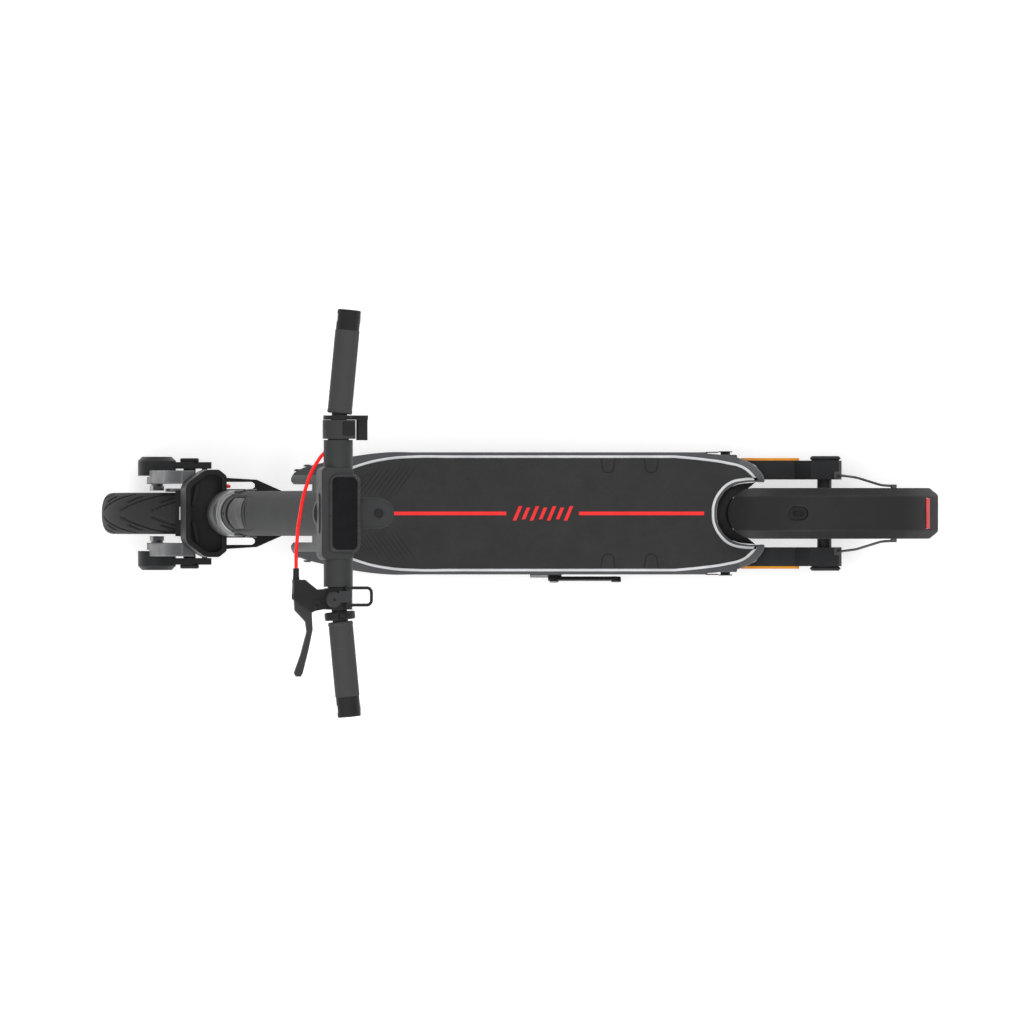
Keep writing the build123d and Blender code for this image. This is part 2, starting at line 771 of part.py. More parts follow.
def rim_barrel(inner):
    """Rim section: a bead seat with a low flange standing up beside each bead."""
    with BuildSketch() as section:
        with BuildLine():
            Polyline(
                (-bead_half - 2.5, inner),
                (-bead_half - 2.5, rim_radius + 1),
                (-bead_half - 0.2, rim_radius - 0.05),
                (bead_half + 0.2, rim_radius - 0.05),
                (bead_half + 2.5, rim_radius + 1),
                (bead_half + 2.5, inner),
                close=True,
            )
        make_face()
    return section.sketch


with BuildPart() as motor_shell:
    with BuildSketch(wheel_section(rear_axle_x)):
        add(rim_barrel(shell_inner))
    revolve(axis=axle_line(rear_axle_x))
motor_shell.part.label = "motor_shell"
export_step(motor_shell.part, "parts/motor_shell.step")

cover_wall = 5.0
cover_bolts = 6
with BuildPart() as motor_covers:
    with BuildSketch(wheel_section(rear_axle_x)):
        with Locations((hub_half - cover_wall / 2, (shell_inner + axle_radius + running_fit) / 2)):
            Rectangle(cover_wall, shell_inner - axle_radius - running_fit)
        with Locations((hub_half - cover_wall / 2 + 0.25, 15)):
            Rectangle(cover_wall + 0.5, 14)
    revolve(axis=axle_line(rear_axle_x))
    with BuildSketch(at_y(hub_half)):
        with Locations((rear_axle_x, axle_z)):
            with PolarLocations(shell_inner - 14, cover_bolts):
                Circle(3)
    extrude(amount=-1)
    mirror(about=Plane.XZ)
motor_covers.part.label = "motor_covers"
export_step(motor_covers.part, "parts/motor_covers.step")

spoke_holes = 6
hub_radius = 24.0
bearing_outer = 16.0
bearing_width = 9.0
front_axle_radius = 6.0
with BuildPart() as front_rim:
    with BuildSketch(wheel_section(front_axle_x)):
        add(rim_barrel(rim_radius - 9))
        with Locations((0, (rim_radius + hub_radius) / 2 - 5)):
            Rectangle(12, rim_radius - hub_radius)
        with Locations((0, (hub_radius + bearing_outer) / 2)):
            Rectangle(2 * bead_half, hub_radius - bearing_outer)
        with Locations((0, (hub_radius + front_axle_radius + 3) / 2)):
            Rectangle(2 * bead_half - 2 * bearing_width, hub_radius - front_axle_radius - 3)
    revolve(axis=axle_line(front_axle_x))
    with BuildSketch(at_y(20)):
        with Locations((front_axle_x, axle_z)):
            with PolarLocations((rim_radius + hub_radius) / 2 - 4, spoke_holes):
                Circle((rim_radius - hub_radius) / 2 - 13)
    extrude(amount=40, mode=Mode.SUBTRACT)
front_rim.part.label = "front_rim"
export_step(front_rim.part, "parts/front_rim.step")

with BuildPart() as front_bearings:
    for bearing_y in (bead_half, -bead_half + bearing_width):
        with BuildSketch(at_y(bearing_y)):
            with Locations((front_axle_x, axle_z)):
                Circle(bearing_outer - 0.02)
                Circle(front_axle_radius + running_fit, mode=Mode.SUBTRACT)
        extrude(amount=bearing_width)
front_bearings.part.label = "front_bearings"
export_step(front_bearings.part, "parts/front_bearings.step")

# ================================================================== fork
crown_half = 63.0
crown_front = 62.7
crown_wall = 7.0
crown_recess = 14.0

with BuildPart() as fork_crown:
    with BuildSketch(steer_base.offset(crown_low)):
        with BuildLine():
            FilletPolyline(
                (3, -54),
                (14, -crown_half),
                (34, -crown_half),
                (crown_front, -42),
                (crown_front, 42),
                (34, crown_half),
                (14, crown_half),
                (3, 54),
                radius=[5, 7, 20, 18, 18, 20, 7, 5],
                close=True,
            )
        make_face()
        Circle(head_radius - 2)
    extrude(amount=crown_top - crown_low)
    with BuildSketch(steer_base.offset(crown_top)):
        with BuildLine():
            FilletPolyline(
                (3 + crown_wall, -51),
                (17, -crown_half + crown_wall),
                (32, -crown_half + crown_wall),
                (crown_front - crown_wall, -38),
                (crown_front - crown_wall, 38),
                (32, crown_half - crown_wall),
                (17, crown_half - crown_wall),
                (3 + crown_wall, 51),
                radius=[2, 4, 14, 12, 12, 14, 4, 2],
                close=True,
            )
        make_face()
        Circle(head_radius - 6, mode=Mode.SUBTRACT)
    extrude(amount=-crown_recess, mode=Mode.SUBTRACT)
    # Slanted stiffening ribs on the floor of the recess
    for rib_side in (-1, 1):
        with BuildSketch(steer_base.offset(crown_top - crown_recess)):
            with Locations(Location((47, rib_side * 27, 0), (0, 0, rib_side * 12))):
                RectangleRounded(5, 30, 2)
        extrude(amount=6)
    with BuildSketch(steer_base.offset(crown_low)):
        Circle(steerer_radius + 0.05)
    extrude(amount=crown_top - crown_low, mode=Mode.SUBTRACT)
fork_crown.part.label = "fork_crown"
export_step(fork_crown.part, "parts/fork_crown.step")

with BuildPart() as steerer_tube:
    with BuildSketch(steer_base.offset(crown_low + 2)):
        Circle(steerer_radius)
        Circle(steerer_radius - 4, mode=Mode.SUBTRACT)
    extrude(amount=head_top + 0.5 - crown_low - 2)
steerer_tube.part.label = "steerer_tube"
export_step(steerer_tube.part, "parts/steerer_tube.step")

leg_inner = 42.5
leg_outer = 62.0
lug_outer = 52.6
lug_radius = 14.5
lug_clear_z = 170.0
pivot_bolt_radius = 5.5

with BuildPart() as fork_legs:
    with BuildSketch(steer_at_y(leg_outer)):
        with BuildLine():
            Polyline(
                (in_steer(shock_x + 12.5, crown_low + 1)[0], crown_low),
                in_steer(474, 270),
                in_steer(490, 225),
                in_steer(504, 175),
                in_steer(front_pivot_x - lug_radius, front_pivot_z + 4),
                in_steer(front_pivot_x, front_pivot_z),
                in_steer(front_pivot_x + lug_radius, front_pivot_z + 4),
                in_steer(533, 185),
                in_steer(521, 240),
                in_steer(512, 272),
            )
            ThreePointArc(in_steer(512, 272), (70, crown_low - 9), (crown_front - 2, crown_low))
            Line((crown_front - 2, crown_low), (in_steer(shock_x + 12.5, crown_low + 1)[0], crown_low))
        make_face()
        with Locations(in_steer(front_pivot_x, front_pivot_z)):
            Circle(lug_radius)
    extrude(amount=leg_outer - leg_inner)
    with BuildSketch(at_y(leg_outer + 1)):
        with Locations((front_pivot_x, lug_clear_z - 50)):
            Rectangle(90, 100)
    extrude(amount=leg_outer + 1 - lug_outer, mode=Mode.SUBTRACT)
    with BuildSketch(at_y(leg_outer + 1)):
        with Locations((front_pivot_x, front_pivot_z)):
            Circle(pivot_bolt_radius + 0.1)
    extrude(amount=leg_outer, mode=Mode.SUBTRACT)
    mirror(about=Plane.XZ)
fork_legs.part.label = "fork_legs"
export_step(fork_legs.part, "parts/fork_legs.step")

boss_inner = 54.4
boss_outer = 82.0
boss_radius = 27.5
bar_inner = 64.6
bar_outer = 74.3
nut_inner = 33.0

with BuildPart() as pivot_bolts:
    with BuildSketch(at_y(boss_outer - 6)):
        with Locations((front_pivot_x, front_pivot_z)):
            Circle(pivot_bolt_radius)
    extrude(amount=boss_outer - 6 - nut_inner)
    with BuildSketch(at_y(nut_inner + 6.6)):
        with Locations((front_pivot_x, front_pivot_z)):
            RegularPolygon(10.4, 6)
    extrude(amount=6.6)
    with BuildSketch(at_y(leg_inner)):
        with Locations((front_pivot_x, front_pivot_z)):
            Circle(9)
    extrude(amount=leg_inner - nut_inner - 6.6)
    mirror(about=Plane.XZ)
    # Hinge pin of the folding stem, with a flat head at each end
    with BuildSketch(at_y(stem_radius + 2)):
        with Locations((hinge_pin_x, hinge_pin_z)):
            Circle(pin_radius)
    extrude(amount=2 * stem_radius + 4)
    for head_y in (stem_radius + 3, -stem_radius - 1):
        with BuildSketch(at_y(head_y)):
            with Locations((hinge_pin_x, hinge_pin_z)):
                Circle(pin_radius + 3)
        extrude(amount=2)
pivot_bolts.part.label = "pivot_bolts"
export_step(pivot_bolts.part, "parts/pivot_bolts.step")

shock_radius = 10.0
shock_body_low = 190.0
rod_radius = 4.5
spring_radius = 9.5
spring_wire = 3.0
spring_seat_z = 131.0

with BuildPart() as shock_bodies:
    with BuildSketch(Plane.XY.offset(shock_body_low)):
        with Locations((shock_x - 1, shock_y)):
            Circle(shock_radius)
    extrude(amount=120)
    with BuildSketch(Plane.XY.offset(shock_body_low)):
        with Locations((shock_x - 1, shock_y)):
            Circle(rod_radius + loose_fit)
    extrude(amount=88, mode=Mode.SUBTRACT)
    split(bisect_by=steer_base.offset(crown_low), keep=Keep.BOTTOM)
    mirror(about=Plane.XZ)
shock_bodies.part.label = "shock_bodies"
export_step(shock_bodies.part, "parts/shock_bodies.step")

eye_pin_radius = 4.0
with BuildPart() as shock_rods:
    with BuildSketch(Plane.XY.offset(spring_seat_z - 3)):
        with Locations((shock_x - 1, shock_y)):
            Circle(rod_radius)
    extrude(amount=shock_body_low + 48 - spring_seat_z)
    with BuildSketch(Plane.XY.offset(spring_seat_z - 3)):
        with Locations((shock_x - 1, shock_y)):
            Circle(spring_radius)
    extrude(amount=3)
    with BuildSketch(at_y(shock_y + 5.5)):
        with Locations((shock_x - 1, (shock_eye_z - 10 + spring_seat_z - 3) / 2)):
            RectangleRounded(22, spring_seat_z - 3 - shock_eye_z + 10, 4)
        with Locations((shock_x - 1.1, shock_eye_z)):
            SlotCenterToCenter(2.6, 2 * eye_pin_radius + 1, mode=Mode.SUBTRACT)
    extrude(amount=11)
    mirror(about=Plane.XZ)
shock_rods.part.label = "shock_rods"
export_step(shock_rods.part, "parts/shock_rods.step")


front_turns = 6
front_step = (shock_body_low - spring_seat_z - spring_wire) / (front_turns - 1)
rear_turns = 3
rear_spring_radius = 10.0
rear_step = (horn_low - arm_top - spring_wire) / (rear_turns - 1)

# Each spring is a stack of closed turns joined by one thin strip
with BuildPart() as front_springs:
    for turn in range(front_turns):
        turn_z = spring_seat_z + spring_wire / 2 + turn * front_step
        with BuildSketch(Plane(origin=(shock_x - 1, shock_y, turn_z), z_dir=(0, -1, 0), x_dir=(1, 0, 0))):
            with Locations((spring_radius - spring_wire / 2, 0)):
                Circle(spring_wire / 2)
        revolve(axis=Axis((shock_x - 1, shock_y, 0), (0, 0, 1)))
    with BuildSketch(Plane.XY.offset(spring_seat_z + spring_wire / 2)):
        with Locations((shock_x - 1 - spring_radius + spring_wire / 2, shock_y)):
            Rectangle(1.5, 1.5)
    extrude(amount=shock_body_low - spring_seat_z - spring_wire)
    mirror(about=Plane.XZ)
front_springs.part.label = "front_springs"
export_step(front_springs.part, "parts/front_springs.step")

with BuildPart() as rear_springs:
    for turn in range(rear_turns):
        turn_z = arm_top + spring_wire / 2 + turn * rear_step
        spring_centre = (rear_spring_x, rear_spring_y, turn_z)
        with BuildSketch(Plane(origin=spring_centre, z_dir=(0, -1, 0), x_dir=(1, 0, 0))):
            with Locations((rear_spring_radius - spring_wire / 2, 0)):
                Circle(spring_wire / 2)
        revolve(axis=Axis((rear_spring_x, rear_spring_y, 0), (0, 0, 1)))
    with BuildSketch(Plane.XY.offset(arm_top + spring_wire / 2)):
        with Locations((rear_spring_x - rear_spring_radius + spring_wire / 2, rear_spring_y)):
            Rectangle(1.5, 1.5)
    extrude(amount=horn_low - arm_top - spring_wire)
    mirror(about=Plane.XZ)
rear_springs.part.label = "rear_springs"
export_step(rear_springs.part, "parts/rear_springs.step")

with BuildPart() as front_swing_arms:
    with BuildSketch(at_y(boss_outer)):
        with Locations((front_pivot_x, front_pivot_z)):
            Circle(boss_radius)
    extrude(amount=boss_outer - boss_inner)
    chamfer(front_swing_arms.edges().filter_by(GeomType.CIRCLE).group_by(Axis.Y)[-1], length=6)
    with BuildSketch(at_y(bar_outer)):
        with BuildLine():
            Polyline(
                (front_pivot_x - 10, front_pivot_z + 16),
                (front_axle_x, axle_z + 15),
                (shock_x - 10, shock_eye_z + 8),
                (shock_x - 10, shock_eye_z - 8),
                (front_axle_x, axle_z - 16),
                (front_pivot_x - 10, front_pivot_z - 16),
                (front_pivot_x - 10, front_pivot_z + 16),
            )
        make_face()
    extrude(amount=bar_outer - bar_inner)
    with BuildSketch(at_y(bar_inner)):
        with Locations((shock_x, shock_eye_z)):
            Circle(eye_pin_radius)
    extrude(amount=bar_inner - shock_y + 8)
    with BuildSketch(at_y(boss_outer - 5)):
        with Locations((front_pivot_x, front_pivot_z)):
            Circle(pivot_bolt_radius + running_fit)
    extrude(amount=boss_outer, mode=Mode.SUBTRACT)
    with BuildSketch(at_y(bar_outer + 1)):
        with Locations((front_axle_x, axle_z)):
            Circle(front_axle_radius)
    extrude(amount=boss_outer, mode=Mode.SUBTRACT)
    mirror(about=Plane.XZ)
front_swing_arms.part.label = "front_swing_arms"
export_step(front_swing_arms.part, "parts/front_swing_arms.step")

backplate_radius = 35.0
backplate_inner = 31.0
backplate_wall = 5.0
front_nut = 3.5
with BuildPart() as front_axle:
    with BuildSketch(at_y(bar_outer + front_nut + 1)):
        with Locations((front_axle_x, axle_z)):
            Circle(front_axle_radius)
    extrude(amount=2 * (bar_outer + front_nut + 1))
    for nut_y in (bar_outer + front_nut, -bar_outer):
        with BuildSketch(at_y(nut_y)):
            with Locations((front_axle_x, axle_z)):
                RegularPolygon(10, 6)
        extrude(amount=front_nut)
    with BuildSketch(at_y(bar_inner)):
        with Locations((front_axle_x, axle_z)):
            Circle(front_axle_radius + 3)
    extrude(amount=bar_inner - bead_half - gap)
    with BuildSketch(at_y(-backplate_inner - backplate_wall)):
        with Locations((front_axle_x, axle_z)):
            Circle(front_axle_radius + 3)
    extrude(amount=bar_inner - backplate_inner - backplate_wall)
front_axle.part.label = "front_axle"
export_step(front_axle.part, "parts/front_axle.step")

cam_x = front_axle_x - 20
cam_z = axle_z + 12
cam_radius = 3.5
with BuildPart() as brake_backplate:
    with BuildSketch(at_y(-backplate_inner)):
        with Locations((front_axle_x, axle_z)):
            Circle(backplate_radius)
            Circle(front_axle_radius, mode=Mode.SUBTRACT)
    extrude(amount=backplate_wall)
    with BuildSketch(at_y(-backplate_inner - backplate_wall)):
        with Locations((cam_x, cam_z)):
            Circle(cam_radius)
    extrude(amount=5)
brake_backplate.part.label = "brake_backplate"
export_step(brake_backplate.part, "parts/brake_backplate.step")

brake_arm_length = 34.0
with BuildPart() as brake_arm:
    with BuildSketch(at_y(-backplate_inner - backplate_wall - 0.3)):
        with Locations((cam_x, cam_z)):
            Circle(7)
        with Locations((cam_x - 5, cam_z + brake_arm_length)):
            Circle(5)
        with BuildLine():
            Polyline(
                (cam_x - 5, cam_z),
                (cam_x + 5, cam_z),
                (cam_x - 1, cam_z + brake_arm_length),
                (cam_x - 9, cam_z + brake_arm_length),
                (cam_x - 5, cam_z),
            )
        make_face()
        with Locations((cam_x, cam_z)):
            Circle(cam_radius + running_fit, mode=Mode.SUBTRACT)
        with Locations((cam_x - 5, cam_z + brake_arm_length)):
            Circle(1.8, mode=Mode.SUBTRACT)
    extrude(amount=4)
brake_arm.part.label = "brake_arm"
export_step(brake_arm.part, "parts/brake_arm.step")

# ------------------------------------------------------------------ front fender
front_fender_inner = tyre_radius + 24.0
front_fender_wall = 2.5
front_fender_half = 33.0
front_fender_front = 18.5
strut_outer = 51.7
strut_inner = 45.3
slot_inner = 35.0
front_fender_outer = front_fender_inner + front_fender_wall
rear_sweep = degrees(asin((front_axle_x - 342) / front_fender_outer))
front_sweep = degrees(asin(front_fender_front / front_fender_outer))

with BuildPart() as front_fender:
    with BuildSketch(Plane.YZ.offset(front_axle_x)):
        with Locations((0, axle_z + front_fender_inner + front_fender_wall / 2)):
            Rectangle(2 * strut_outer, front_fender_wall)
    revolve(axis=Axis((front_axle_x, 0, axle_z), (0, -1, 0)), revolution_arc=rear_sweep)
    with BuildSketch(Plane.YZ.offset(front_axle_x)):
        with Locations((0, axle_z + front_fender_inner + front_fender_wall / 2)):
            Rectangle(2 * front_fender_half, front_fender_wall)
    revolve(axis=Axis((front_axle_x, 0, axle_z), (0, 1, 0)), revolution_arc=front_sweep)
    # Open slots between the band and its two side struts, and a tapered tail
    with BuildSketch(Plane.XY.offset(axle_z)):
        with BuildLine():
            Polyline(
                (430, strut_inner),
                (430, slot_inner),
                (386, slot_inner),
                (382, slot_inner + 3),
                (382, strut_inner - 3),
                (386, strut_inner),
                (430, strut_inner),
            )
        make_face()
        with BuildLine():
            Polyline((436, 34), (436, 60), (500, 60), (500, 33), (440, 33), (436, 34))
        make_face()
        with BuildLine():
            Polyline((335, 28.8), (379, 48.6), (428, strut_outer), (428, 60), (335, 60), (335, 28.8))
        make_face()
        mirror(about=Plane.XZ)
    extrude(amount=2 * tyre_radius, mode=Mode.SUBTRACT)
    with BuildSketch(steer_base.offset(crown_low)):
        with Locations((32, 0)):
            RectangleRounded(30, 24, 4)
    extrude(amount=-22)
    with BuildSketch(at_y(60)):
        with Locations((front_axle_x, axle_z)):
            Circle(front_fender_inner)
    extrude(amount=120, mode=Mode.SUBTRACT)
front_fender.part.label = "front_fender"
export_step(front_fender.part, "parts/front_fender.step")

cable_radius = 2.5
with BuildPart() as lower_brake_cable:
    with BuildLine() as lower_path:
        FilletPolyline(
            steer_base.from_local_coords(Vector(3, -39, 316)),
            steer_base.from_local_coords(Vector(-5, -39, 316)),
            (420, -40, 284),
            (424, -40, 256),
            (433, -40, 238),
            (443, -40, 222),
            radius=[5, 60, 40, 40],
        )
    with BuildSketch(Plane(origin=lower_path.line @ 0, z_dir=lower_path.line % 0)):
        Circle(cable_radius)
    sweep(path=lower_path.line)
    with BuildSketch(Plane(origin=lower_path.line @ 1, z_dir=lower_path.line % 1)):
        Circle(cable_radius + 1.2)
    extrude(amount=8)
lower_brake_cable.part.label = "lower_brake_cable"
export_step(lower_brake_cable.part, "parts/lower_brake_cable.step")

# ------------------------------------------------------------------ fold joint
base_radius = stem_radius - 4.5
base_low = head_top + 0.5
base_high = 476.0
hinge_clear = 46.0
cheek_inner = base_radius + 0.5
cheek_radius = 16.0

with BuildPart() as fold_base:
    with BuildSketch(steer_base.offset(base_low)):
        Circle(base_radius)
    extrude(amount=base_high - base_low)
    chamfer(fold_base.edges().filter_by(GeomType.CIRCLE).sort_by(Axis.Z)[-1], length=2)
    with BuildSketch(at_y(base_radius + 1)):
        with Locations((hinge_pin_x, hinge_pin_z)):
            Circle(pin_radius + 0.05)
    extrude(amount=2 * base_radius + 2, mode=Mode.SUBTRACT)
    with BuildSketch(Plane(origin=steer_base.from_local_coords(Vector(base_radius + 1, 0, 456)),
                           x_dir=(0, 1, 0), z_dir=steer_base.x_dir)):
        Circle(3)
    extrude(amount=-7, mode=Mode.SUBTRACT)
fold_base.part.label = "fold_base"
export_step(fold_base.part, "parts/fold_base.step")

# ================================================================== stem
stem_low = 474.0
head_block_low = 26.0
scoop_half = 23.0
scoop_top = 640.0
lever_low = 520.0
lever_high = 634.0
lever_pin_along = 616.0
lever_pin_across = 19.0
lever_pin_radius = 2.2

with BuildPart() as stem_tube:
    with BuildSketch(steer_base.offset(stem_low)):
        Circle(stem_radius)
        Circle(stem_radius - stem_wall, mode=Mode.SUBTRACT)
    extrude(amount=bar_distance - head_block_low - stem_low)
    # Opening at the front for the latch lever, rounded at its top
    with BuildSketch(Plane(origin=steer_base.from_local_coords(Vector(10, 0, 0)),
                           x_dir=(0, 1, 0), z_dir=steer_base.x_dir)):
        with Locations((0, (stem_low - 30 + scoop_top - scoop_half) / 2)):
            Rectangle(2 * scoop_half, scoop_top - scoop_half - stem_low + 30)
        with Locations((0, scoop_top - scoop_half)):
            Circle(scoop_half)
    extrude(amount=40, mode=Mode.SUBTRACT)
    # Room for the fold base, so that only the side cheeks reach the pin
    with BuildSketch(at_y(cheek_inner)):
        with Locations((hinge_pin_x, hinge_pin_z)):
            Circle(hinge_clear + 1.5)
    extrude(amount=2 * cheek_inner, mode=Mode.SUBTRACT)
    for cheek_y in (stem_radius, -cheek_inner):
        with BuildSketch(steer_at_y(cheek_y)):
            with BuildLine():
                Polyline(
                    (pin_across - cheek_radius, pin_along),
                    (pin_across - cheek_radius + 4, pin_along + 60),
                    (14, pin_along + 60),
                    (14, pin_along + 12),
                    (pin_across + cheek_radius - 1, pin_along - 3),
                    (pin_across, pin_along),
                    (pin_across - cheek_radius, pin_along),
                )
            make_face()
            with Locations((pin_across, pin_along)):
                Circle(cheek_radius)
        extrude(amount=stem_radius - cheek_inner)
    with BuildSketch(at_y(stem_radius + 1)):
        with Locations((hinge_pin_x, hinge_pin_z)):
            Circle(pin_radius + running_fit)
    extrude(amount=2 * stem_radius + 2, mode=Mode.SUBTRACT)
    # Cross pin for the latch lever
    with BuildSketch(steer_at_y(scoop_half + 3)):
        with Locations((lever_pin_across, lever_pin_along)):
            Circle(lever_pin_radius)
    extrude(amount=2 * scoop_half + 6)
stem_tube.part.label = "stem_tube"
export_step(stem_tube.part, "parts/stem_tube.step")

with BuildPart() as fold_latch:
    with BuildSketch(steer_base.offset(lever_low)):
        Circle(stem_radius)
        Circle(stem_radius - stem_wall, mode=Mode.SUBTRACT)
    extrude(amount=lever_high - lever_low)
    with BuildSketch(Plane(origin=steer_base.from_local_coords(Vector(12, 0, 0)),
                           x_dir=(0, 1, 0), z_dir=steer_base.x_dir)):
        with Locations((0, (lever_low + 10 + lever_high - scoop_half) / 2)):
            Rectangle(2 * (scoop_half - 1), lever_high - scoop_half - lever_low - 10)
        with Locations((0, lever_high - scoop_half)):
            Circle(scoop_half - 1)
        with Locations((0, lever_low + 22)):
            Circle(scoop_half - 1)
    extrude(amount=40, mode=Mode.INTERSECT)
    for eye_y in (scoop_half - 2, -scoop_half + 9):
        with BuildSketch(steer_at_y(eye_y)):
            with Locations((lever_pin_across, lever_pin_along)):
                Circle(6)
        extrude(amount=7)
    with BuildSketch(steer_at_y(stem_radius)):
        with Locations((lever_pin_across, lever_pin_along)):
            Circle(lever_pin_radius + running_fit)
    extrude(amount=2 * stem_radius, mode=Mode.SUBTRACT)
fold_latch.part.label = "fold_latch"
export_step(fold_latch.part, "parts/fold_latch.step")

# ------------------------------------------------------------------ bar head and display
head_block_half = 65.5
head_block_front = 26.6
head_block_rear = -19.0
head_block_top = 21.5
tongue_half = 22.0
tongue_end = -79.0
tongue_top = 4.0
tongue_low = -14.0
button_spot = -57.0
button_radius = 6.0

with BuildPart() as stem_head:
    with BuildSketch(bar_plane.offset(-head_block_low)):
        with Locations(((head_block_front + head_block_rear) / 2, 0)):
            RectangleRounded(head_block_front - head_block_rear, 2 * head_block_half, 9)
    extrude(amount=head_block_low + head_block_top)
    fillet(stem_head.faces().sort_by(Axis.Z)[-1].outer_wire().edges(), 4)
    with BuildSketch(bar_plane.offset(-head_block_low)):
        Circle(stem_radius)
    extrude(amount=9)
    with BuildSketch(bar_plane.offset(tongue_low)):
        with Locations(((tongue_end + tongue_half) / 2, 0)):
            Rectangle(-tongue_end - tongue_half, 2 * tongue_half)
        with Locations((tongue_end + tongue_half, 0)):
            Circle(tongue_half)
    extrude(amount=tongue_top - tongue_low)
    # Steel hook under the tip of the tongue
    with BuildSketch(bar_plane.offset(tongue_low)):
        with Locations((tongue_end + 8, 0)):
            RectangleRounded(8, 14, 2)
    extrude(amount=-10)
    with BuildSketch(bar_plane.offset(tongue_top)):
        with Locations((button_spot, 0)):
            Circle(button_radius + loose_fit)
    extrude(amount=-4, mode=Mode.SUBTRACT)
    with BuildSketch(across_bar(head_block_half + 1)):
        Circle(bar_middle_radius)
    extrude(amount=2 * head_block_half + 2, mode=Mode.SUBTRACT)
    # Seat for the headlight
    with BuildSketch(Plane(origin=bar_point(head_block_front, 0, -4), x_dir=(0, 1, 0),
                           z_dir=steer_base.x_dir)):
        RectangleRounded(58, 22, 9)
    extrude(amount=-4, mode=Mode.SUBTRACT)
stem_head.part.label = "stem_head"
export_step(stem_head.part, "parts/stem_head.step")

with BuildPart() as display:
    with BuildSketch(bar_plane.offset(head_block_top)):
        with Locations((-5.3, 0)):
            RectangleRounded(43.5, 110, 9)
    extrude(amount=3.6)
    chamfer(display.faces().sort_by(Axis.Z)[-1].outer_wire().edges(), length=1.5)
display.part.label = "display"
export_step(display.part, "parts/display.step")

with BuildPart() as headlight:
    with BuildSketch(Plane(origin=bar_point(head_block_front - 4, 0, -4), x_dir=(0, 1, 0),
                           z_dir=steer_base.x_dir)):
        RectangleRounded(57.6, 21.6, 8.8)
    extrude(amount=6)
    chamfer(headlight.faces().sort_by(Axis.X)[-1].outer_wire().edges(), length=1.5)
headlight.part.label = "headlight"
export_step(headlight.part, "parts/headlight.step")

with BuildPart() as power_button:
    with BuildSketch(bar_plane.offset(tongue_top - 2)):
        with Locations((button_spot, 0)):
            Circle(button_radius)
    extrude(amount=3.4)
    fillet(power_button.faces().sort_by(Axis.Z)[-1].edges(), 0.8)
power_button.part.label = "power_button"
export_step(power_button.part, "parts/power_button.step")

middle_end = 103.0
step_radius = 15.0
cable_entry = [(24.2, -79.0, -6.4), (14.5, -89.5, -4.4)]

with BuildPart() as handlebar:
    with BuildSketch(across_bar(middle_end)):
        Circle(bar_middle_radius)
    extrude(amount=2 * middle_end)
    for step_y in (sweep_start, -middle_end):
        with BuildSketch(across_bar(step_y)):
            Circle(step_radius)
        extrude(amount=sweep_start - middle_end)
    with BuildSketch(along_grip(-4)):
        Circle(bar_end_radius)
    extrude(amount=bar_half_length - sweep_start + 1)
    split(bisect_by=Plane.XZ, keep=Keep.BOTTOM)
    mirror(about=Plane.XZ)
    entry_from = bar_point(*cable_entry[0])
    entry_to = bar_point(*cable_entry[1])
    with BuildSketch(Plane(origin=entry_from, z_dir=entry_to - entry_from)):
        Circle(cable_radius + loose_fit)
    extrude(amount=(entry_to - entry_from).length + 1, mode=Mode.SUBTRACT)
handlebar.part.label = "handlebar"
export_step(handlebar.part, "parts/handlebar.step")

right_grip_start = 140.0
out_scale = cos(radians(sweep_angle))


def grip_distance(left):
    """Distance along the swept-back part of the bar for a distance left of the middle."""
    return (left - sweep_start) / out_scale


with BuildPart() as grips:
    with BuildSketch(along_grip(grip_distance(right_grip_start))):
        Circle(grip_radius)
        Circle(bar_end_radius, mode=Mode.SUBTRACT)
    extrude(amount=(grip_end - right_grip_start) / out_scale)
    mirror(about=Plane.XZ)
    # The left grip starts further out, beside the switch collar
    with BuildSketch(across_bar(grip_start)):
        Rectangle(80, 80)
    extrude(amount=grip_start, mode=Mode.SUBTRACT)
grips.part.label = "grips"
export_step(grips.part, "parts/grips.step")

cap_radius = 16.5
with BuildPart() as bar_ends:
    with BuildSketch(along_grip(grip_distance(grip_end + 0.2))):
        Circle(cap_radius)
        Circle(bar_end_radius + 0.05, mode=Mode.SUBTRACT)
    extrude(amount=(bar_half_length - grip_end) / out_scale - 3)
    with BuildSketch(along_grip(grip_distance(bar_half_length - 2.8))):
        Circle(cap_radius)
    extrude(amount=2.8)
    fillet(bar_ends.faces().sort_by(Axis.Y)[-1].edges(), 2)
    # Seats for the turn-signal lenses, on the front and the back of each cap
    with BuildSketch(along_grip(grip_distance(267))):
        with Locations((0, cap_radius), (0, -cap_radius)):
            Rectangle(7, 3)
    extrude(amount=12, mode=Mode.SUBTRACT)
    mirror(about=Plane.XZ)
bar_ends.part.label = "bar_ends"
export_step(bar_ends.part, "parts/bar_ends.step")

# ------------------------------------------------------------------ brake lever
clamp_start = 105.0
clamp_end = 135.0
clamp_radius = 20.0
perch_wall = 3.0
perch_gap = 4.5
lever_half = 4.0
lever_pivot = (31.5, 128.0)
lever_bolt_radius = 3.0
perch_nose = [(20, 106), (32, 107), (48, 93), (64, 93), (65, 120), (40, 138), (24, 135), (20, 134)]
perch_spine = [(30, 107), (48, 93), (64, 93), (65, 112), (46, 114), (24, 112)]

